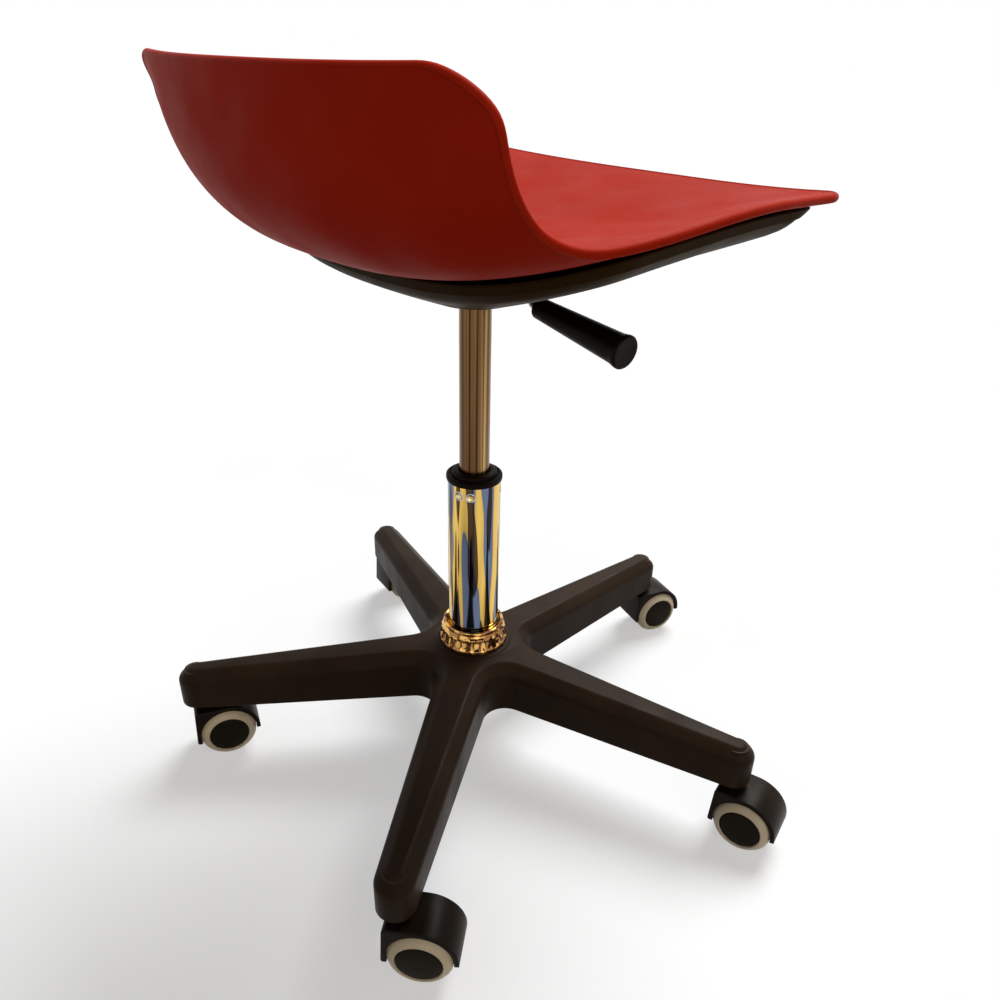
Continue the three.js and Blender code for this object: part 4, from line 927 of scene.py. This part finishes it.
def crimp(name, points, material, angle):
    """One part of a pressed dent: a turned profile bent on to the tube's wall."""
    bm = bmesh.new()
    add_lathe(bm, filleted(points, 3), 40)
    outward(bm)
    for v in bm.verts:
        x, y = on_circle((0, 0), TUBE + v.co.z, v.co.x / TUBE)
        v.co = Vector((x, y, CRIMP_HEIGHT + v.co.y))
    outward(bm)
    finish_object(name, bm, material, "base", [], 40, about_z(angle))


def press_dent(bm, angle):
    """Pushes the tube's outer wall in where a crimp sits."""
    centre = about_z(angle) @ Vector((TUBE, 0, CRIMP_HEIGHT))
    for v in bm.verts:
        if v.co.z < CRIMP_HEIGHT - 17 or math.hypot(v.co.x, v.co.y) < TUBE_BORE + 0.3:
            continue
        inward = -Vector((v.co.x, v.co.y, 0)).normalized()
        v.co += inward * (CRIMP_DEPTH * math.exp(-(((v.co - centre).length / CRIMP_REACH) ** 6)))


def outer_tube():
    bm = bmesh.new()
    levels = [(CLIP_HOLE, TUBE_FOOT), (23.0, TUBE_FOOT), (23.4, TUBE_FOOT + 0.4), (TUBE, TUBE_TAPER)]
    levels += [(TUBE, 200), (TUBE, 285)] + [(TUBE, 286 + 0.55 * i) for i in range(36)]
    levels += [(24.85, TUBE_END - 0.15), (24.5, TUBE_END), (TUBE_BORE + 0.15, TUBE_END)]
    levels += [(TUBE_BORE, TUBE_END - 0.2), (TUBE_BORE, TUBE_TAPER), (21.9, TUBE_FLOOR + 0.2)]
    levels += [(21.7, TUBE_FLOOR), (CLIP_HOLE, TUBE_FLOOR)]
    add_lathe(bm, levels, 192)
    outward(bm)
    for third in range(3):
        for side, letter in ((-1, "b"), (1, "a")):
            angle = CRIMP_FIRST + 120 * third + CRIMP_APART * side
            press_dent(bm, angle)
            # Each crimp gets a ring with a painted highlight and a bowl with a painted reflection
            crimp(f"crimp_ring_{third + 1}{letter}", CRIMP_RING, RING_PAINTED_HIGHLIGHT, angle)
            crimp(f"crimp_bowl_{third + 1}{letter}", CRIMP_BOWL, BOWL_PAINTED_REFLECTION, angle)
    finish_object("tube_chromed", bm, CHROME_PAINTED_REFLECTIONS, "base", ["outer_tube"], 40)


def guide_bushing():
    points = [
        (14.4, 228, 0.5), (23.2, 228, 0.5), (23.2, 306.3), (26.0, 306.3, 0.6), (26.4, 307.6, 0.6),
        (26.4, 311.0, 1.2), (25.2, 311.9, 0.6), (23.6, 311.9, 0.5), (23.0, 310.6, 0.5),
        (21.6, 310.6, 0.5), (21.2, 313.4, 0.7), (20.2, 315.0, 0.8), (18.0, 315.8, 0.8),
        (15.4, 315.8, 0.6), (14.4, 314.4, 0.4),
    ]
    lathe_piece("bushing_stepped", points, 128, GUIDE_BLACK, "base", ["guide_bushing"], 4)


COLLAR_FOOT, FACETS = 123.7, 16
# Heights above the collar's foot: top of its plain foot ring, and both ends of its wells and of its beads
FOOT_RING, WELL_LOW, WELL_HIGH, BEAD_LOW, BEAD_HIGH, FACET_TOP = 3.9, 3.6, 13.0, 13.6, 17.0, 17.5
WELL_DEPTH, BEAD_RISE = 2.0, 0.45


def tube_collar():
    """A turned ring, then flattened into facets with a well in each and beads above."""
    section = [
        (25.35, 0), (34.0, 0, 0.3), (34.6, 0.6, 0.4), (34.3, 3.2, 0.5), (33.9, 3.8), (33.5, 5.0),
        (33.1, 7.0), (32.7, 9.0), (32.3, 11.0), (32.0, 12.6), (31.9, 13.4, 0.3), (32.4, 14.6, 0.6),
        (32.2, 16.4, 0.8), (30.4, 17.6, 0.6), (29.4, 19.4, 0.8), (30.4, 21.2, 0.8), (30.5, 23.0, 0.9),
        (29.2, 24.0, 0.8), (27.4, 23.4, 0.6), (26.4, 22.0, 0.5), (25.4, 21.6),
    ]
    bm = bmesh.new()
    add_lathe(bm, [(r, COLLAR_FOOT + z) for r, z in filleted(section, 4)], FACETS * 16)
    outward(bm)
    pitch = 2 * math.pi / FACETS
    for v in bm.verts:
        radius = math.hypot(v.co.x, v.co.y)
        level = v.co.z - COLLAR_FOOT
        if radius < 29 or level > FACET_TOP:
            continue
        local = (math.atan2(v.co.y, v.co.x) / pitch) % 1.0 - 0.5
        flat = 1 / math.cos(local * pitch) * math.cos(pitch / 2)
        share = 1.0 if level < FOOT_RING else 0.5
        scale = mixed(1.0, flat / math.cos(pitch / 4), share)
        depth = 0.0
        if WELL_LOW < level < WELL_HIGH:
            inside = min((0.30 - abs(local)) / 0.07, (level - WELL_LOW) / 1.2, (WELL_HIGH - level) / 1.2)
            depth = WELL_DEPTH * min(1.0, max(0.0, inside))
        if BEAD_LOW < level < BEAD_HIGH:
            depth = -BEAD_RISE * max(0.0, math.cos(local * 4 * math.pi))
        v.co.x *= (radius * scale - depth) / radius
        v.co.y *= (radius * scale - depth) / radius
    finish_object("collar_chromed", bm, COLLAR_CHROME_PAINTED_LIGHT, "base", ["tube_collar"])


def gas_cylinder():
    points = [
        (0, 464), (12.2, 464), (12.2, 226), (13.4, 226, 0.5), (14, 226.8, 0.4), (14, 478),
        (13.1, 509.4, 0.5), (12.6, 510), (4.3, 510), (4.3, 498.5), (0, 498.5),
    ]
    lathe_piece("cylinder_satin", points, 96, SATIN_PAINTED_REFLECTIONS, "seat", ["gas_cylinder"], 4)


# Lever
LEVER_FORWARD, PIVOT_SIDE, PIVOT_HEIGHT, LEVER_ROD, LEVER_BEND = 36, 22, 518.8, 3.5, 3.5
GRIP_INNER = Vector((-38, -LEVER_FORWARD, 468.5))
GRIP_OUTER = Vector((-138, -LEVER_FORWARD, 454))
GRIP_ALONG = (GRIP_OUTER - GRIP_INNER).normalized()


def lever_grip():
    length = (GRIP_OUTER - GRIP_INNER).length
    place = Matrix.Translation(GRIP_INNER) @ GRIP_ALONG.to_track_quat("Z", "Y").to_matrix().to_4x4()
    points = [
        (0, 45.3), (3.8, 45.3), (3.8, 0), (6.8, 0, 1.5), (9, 2.2, 2.0), (12.6, length - 12),
        (13.0, length - 8, 2.0), (14, length - 3.4, 1.6), (14, length - 1.4, 1.2),
        (12.9, length, 0.8), (7, length - 0.5), (0, length - 0.6),
    ]
    lathe_piece("grip_moulded", points, 72, GUIDE_BLACK, "lever", ["lever_grip"], 4, place)


def add_sweep(bm, points, radius):
    """A round rod along a path."""
    segments = 20
    rings = []
    across = Vector((0, 0, 1))
    for i, p in enumerate(points):
        tangent = (points[min(i + 1, len(points) - 1)] - points[max(i - 1, 0)]).normalized()
        across = (across - tangent * across.dot(tangent)).normalized()
        other = tangent.cross(across)
        rings.append([bm.verts.new(p + across * x + other * y) for x, y in circle(radius, segments)])
    bridge(bm, rings)
    bm.faces.new(rings[0])
    bm.faces.new(rings[-1])


def lever_rod():
    pivot = Vector((-PIVOT_SIDE, -LEVER_FORWARD, PIVOT_HEIGHT))
    corners = [
        Vector((0, 0, PIVOT_HEIGHT)), Vector((0, -LEVER_FORWARD, PIVOT_HEIGHT)), pivot,
        pivot + Vector((-7, 0, -7)), GRIP_INNER - GRIP_ALONG * 7, GRIP_INNER + GRIP_ALONG * 45,
    ]
    path = [corners[0]]
    for before, here, after in zip(corners, corners[1:], corners[2:]):
        start = here.lerp(before, min(0.49, LEVER_BEND / (before - here).length))
        end = here.lerp(after, min(0.49, LEVER_BEND / (after - here).length))
        for k in range(7):
            t = k / 6
            path.append(start * (1 - t) ** 2 + here * (2 * t * (1 - t)) + end * t**2)
    path.append(corners[-1])
    bm = bmesh.new()
    add_sweep(bm, path, LEVER_ROD)
    outward(bm)
    eye = [(2.8, -4.5, 0.3), (5.6, -4.5, 0.6), (5.6, 4.5, 0.6), (2.8, 4.5, 0.3)]
    place = Matrix.Translation(pivot) @ Matrix.Rotation(math.pi / 2, 4, "X")
    add_lathe(bm, filleted(eye, 3), 32, place)
    finish_object("lever_bent_rod", bm, ZINC, "lever", ["lever_rod"], 40)


# Casters
WHEEL, TRAIL, SPAN, WIDTH, TREAD = 27.5, 21.5, 20.6, 15.6, 8.2
WHEEL_INNER, DISC = SPAN - WIDTH, WHEEL - TREAD
HOOD, GAP, HOOD_HALF, HOOD_WEB, HOOD_FRONT = 32, 0.5, 19.8, 7, 30.1
FRONT_FLARE, FRONT_LIP, REAR_LIP, HOOD_CORNER, LIP_CORNER, HOOD_ROUND = 1.8, 20, 25.5, 4.5, 2.2, 1.1
# From the first arm to the arm of caster 1, and the directions that the casters trail in
FIRST_CASTER = 216
TRAILS = [-139.3, -164.7, -106.9, -99.0, -109.6]
AXLE_FRAME = Matrix.Translation((TRAIL, 0, WHEEL)) @ Matrix.Rotation(math.pi / 2, 4, "X")


def hood_outline():
    """Side view of a hood, counted anticlockwise from its rear lip."""
    quarter = math.pi / 2
    rear = -math.asin((WHEEL - REAR_LIP) / HOOD)
    foot = FRONT_LIP - WHEEL
    front = -HOOD_FRONT - FRONT_FLARE
    corner = (-HOOD_FRONT + HOOD_CORNER, HOOD - HOOD_CORNER)
    outline = arc((0, 0), HOOD, rear, quarter, 48)
    outline += line_points((0, HOOD), (corner[0], HOOD), 6)[1:]
    outline += arc(corner, HOOD_CORNER, quarter, 2 * quarter, 8)
    outline += line_points((-HOOD_FRONT, corner[1]), (front, foot + LIP_CORNER), 8)[1:]
    outline += arc((front + LIP_CORNER, foot + LIP_CORNER), LIP_CORNER, 2 * quarter, 3 * quarter, 6)
    return outline


def add_prism(bm, outline, low, high):
    rings = [[bm.verts.new((x, y, z)) for x, y in outline] for z in (low, high)]
    bridge(bm, rings)
    bm.faces.new(rings[0][::-1])
    bm.faces.new(rings[1])


def drawn_in(outline, distance):
    """The outline, counted anticlockwise, drawn in by a distance."""
    made = []
    count = len(outline)
    for i in range(count):
        here = Vector(outline[i])
        before = (here - Vector(outline[i - 1])).normalized()
        after = (Vector(outline[(i + 1) % count]) - here).normalized()
        first = Vector((-before.y, before.x))
        second = Vector((-after.y, after.x))
        p = here + (first + second) * (distance / (1 + first.dot(second)))
        made.append((p.x, p.y))
    return made


def hood_mesh():
    """A hood in its own frame: trailing along +X from the stem, axle across Y."""
    bm = bmesh.new()
    outline = hood_outline()
    steps = 4
    rings = []
    for side in (-1, 1):
        for k in range(steps + 1):
            angle = math.pi / 2 * (k if side < 0 else steps - k) / steps
            inset = HOOD_ROUND * (1 - math.sin(angle))
            level = side * (HOOD_HALF - HOOD_ROUND * (1 - math.cos(angle)))
            rings.append([bm.verts.new((x, y, level)) for x, y in drawn_in(outline, inset)])
    bridge(bm, rings)
    bm.faces.new(rings[0][::-1])
    bm.faces.new(rings[-1])
    outward(bm)
    well = circle(WHEEL + GAP, 96)
    near, far = HOOD_WEB / 2, HOOD_HALF + 5
    for low, high in ((-far, -near), (near, far)):
        cutter = bmesh.new()
        add_prism(cutter, well, low, high)
        outward(cutter)
        bm = cut(bm, cutter)
    bmesh.ops.transform(bm, matrix=AXLE_FRAME, verts=bm.verts)
    foot, head = WHEEL + 12, WHEEL + HOOD - 0.3
    add_lathe(bm, filleted([(5.5, foot), (8.6, foot, 0.6), (8.6, head), (5.5, head)], 2), 32)
    mesh = bpy.data.meshes.new("hood")
    bm.to_mesh(mesh)
    bm.free()
    return mesh


def wheel(number, letter, place):
    tread = [
        (DISC + 0.3, WHEEL_INNER), (WHEEL - 0.8, WHEEL_INNER, 0.6), (WHEEL, WHEEL_INNER + 0.8, 0.6),
        (WHEEL, SPAN - 3.4, 3.2), (WHEEL - 3.0, SPAN + 0.4, 2.6), (DISC + 2.0, SPAN + 2.5, 1.2),
        (DISC + 0.9, SPAN + 2.8, 0.4), (DISC + 0.3, SPAN + 1.8),
    ]
    axle_end = SPAN - WIDTH / 3 + 0.3
    core = [
        (0, axle_end), (3.3, axle_end), (3.3, WHEEL_INNER), (DISC - 0.3, WHEEL_INNER, 0.3),
        (DISC, WHEEL_INNER + 0.4), (DISC, SPAN + 1.6, 0.5), (DISC - 1.2, SPAN + 2.2, 0.5),
        (DISC - 5, SPAN + 2.8, 3), (8, SPAN + 3.3, 4), (0, SPAN + 3.4),
    ]
    side = f"{number}{letter}"
    body = f"wheel_{side}"
    nodes = [f"wheel_disc_{side}"]
    lathe_piece(f"tyre_{side}", tread, 96, BEIGE, body, [f"tread_{side}"], 5, place)
    lathe_piece(f"core_{side}", core, 64, DISC_BLACK, body, nodes, 4, place)


def casters():
    hood = hood_mesh()
    stem_points = [
        (0, 46.5), (4.6, 46.5, 0.4), (5, 47.2), (5, 62.9), (8, 62.9, 0.4), (8, 65.3, 0.4),
        (5, 65.3), (5, 94.4), (3.8, 95.6), (0, 95.6),
    ]
    for n, trail in enumerate(TRAILS):
        number = n + 1
        arm = math.radians(BASE_TURN + FIRST_CASTER + 360 / ARMS * n)
        stem = Matrix.Translation((*on_circle((0, 0), STEM_CIRCLE, arm), 0))
        turn = stem @ about_z(trail)
        bm = bmesh.new()
        bm.from_mesh(hood)
        body, nodes = f"caster_{number}", [f"caster_hood_{number}"]
        finish_object(f"hood_{number}", bm, GLOSS_BLACK, body, nodes, 30, turn)
        for letter, side in (("a", 1), ("b", -1)):
            wheel(number, letter, turn @ AXLE_FRAME @ Matrix.Diagonal((1, 1, side, 1)))
        nodes = [f"caster_stem_{number}"]
        lathe_piece(f"stem_{number}", stem_points, 40, ZINC, "base", nodes, 3, stem)


# Stage
WORLD_FILL, FLOOR_PALE, FLOOR_HALF = 0.13, 0.46, 40.0
# Direction that each lamp stands in, its strength, its width in degrees and its tint
SUNS = [
    ("key", (0.20, -0.75, 1.05), 2.9, 34, (0.98, 0.99, 1.0)),
    ("fill", (-1.0, 0.42, 0.33), 0.55, 50, (1.0, 0.86, 0.66)),
]


def seen_ray(tree):
    path = tree.nodes.new("ShaderNodeLightPath")
    seen = math_node(tree, "MAXIMUM", path.outputs["Is Camera Ray"], path.outputs["Is Glossy Ray"])
    return math_node(tree, "MAXIMUM", seen, path.outputs["Is Transmission Ray"])


def floor_material():
    """A pale floor that keeps shadows and throws little light back up."""
    material, tree, shader = new_material("floor")
    seen = seen_ray(tree)
    tone = ramp(tree, noise(tree, 3, 3), [(0.4, (0.60, 0.60, 0.60)), (0.6, (0.62, 0.62, 0.62))])
    tree.links.new(mix_colour(tree, seen, (0.20, 0.19, 0.18), tone), shader.inputs["Base Color"])
    shader.inputs["Roughness"].default_value = 0.9
    shader.inputs["Specular IOR Level"].default_value = 0.0
    shader.inputs["Emission Color"].default_value = (1, 1, 1, 1)
    tree.links.new(math_node(tree, "MULTIPLY", seen, FLOOR_PALE), shader.inputs["Emission Strength"])
    return material


def make_stage():
    mesh = bpy.data.meshes.new("floor")
    signs = ((-1, -1), (1, -1), (1, 1), (-1, 1))
    mesh.from_pydata([(x * FLOOR_HALF, y * FLOOR_HALF, 0) for x, y in signs], [], [(0, 1, 2, 3)])
    floor = bpy.data.objects.new("floor", mesh)
    bpy.context.scene.collection.objects.link(floor)
    mesh.materials.append(floor_material())
    world = bpy.data.worlds.new("studio")
    bpy.context.scene.world = world
    world.use_nodes = True
    tree = world.node_tree
    tree.nodes.clear()
    output = tree.nodes.new("ShaderNodeOutputWorld")
    background = tree.nodes.new("ShaderNodeBackground")
    strength = tree.nodes.new("ShaderNodeMapRange")
    strength.inputs["To Min"].default_value = WORLD_FILL
    strength.inputs["To Max"].default_value = 1.0
    tree.links.new(seen_ray(tree), strength.inputs["Value"])
    tree.links.new(strength.outputs["Result"], background.inputs["Strength"])
    background.inputs["Color"].default_value = (1, 1, 1, 1)
    tree.links.new(background.outputs["Background"], output.inputs["Surface"])
    for name, towards, strength, width, colour in SUNS:
        data = bpy.data.lights.new(name, "SUN")
        data.energy = strength
        data.angle = math.radians(width)
        data.color = colour
        lamp = bpy.data.objects.new(name, data)
        lamp.rotation_euler = (-Vector(towards)).to_track_quat("-Z", "Y").to_euler()
        bpy.context.scene.collection.objects.link(lamp)


seat_shell()
seat_cover()
star_base()
outer_tube()
guide_bushing()
tube_collar()
gas_cylinder()
lever_grip()
lever_rod()
casters()
make_stage()

# Solids of the CAD that stay in the scene, by the material that they get
KEPT = [
    (DARK_STEEL, ["mounting_plate", "taper_socket"]),
    (ZINC, ["lever_pin", "release_button", "lower_washer", "ball_ring", "upper_washer", "retaining_clip"]),
    (ZINC, [f"seat_screw_{n}" for n in range(1, 5)] + [f"caster_axle_{n}" for n in range(1, 6)]),
    (COVER_BLACK, ["rod_guide", "piston"]),
    # The piston rod takes the chrome with painted reflections
    (CHROME_PAINTED_REFLECTIONS, ["piston_rod"]),
    (RUBBER, ["end_bumper"]),
]
for material, names in KEPT:
    for name in names:
        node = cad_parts[name]
        node.data.materials.clear()
        node.data.materials.append(material)

bpy.context.scene.view_settings.view_transform = "Standard"
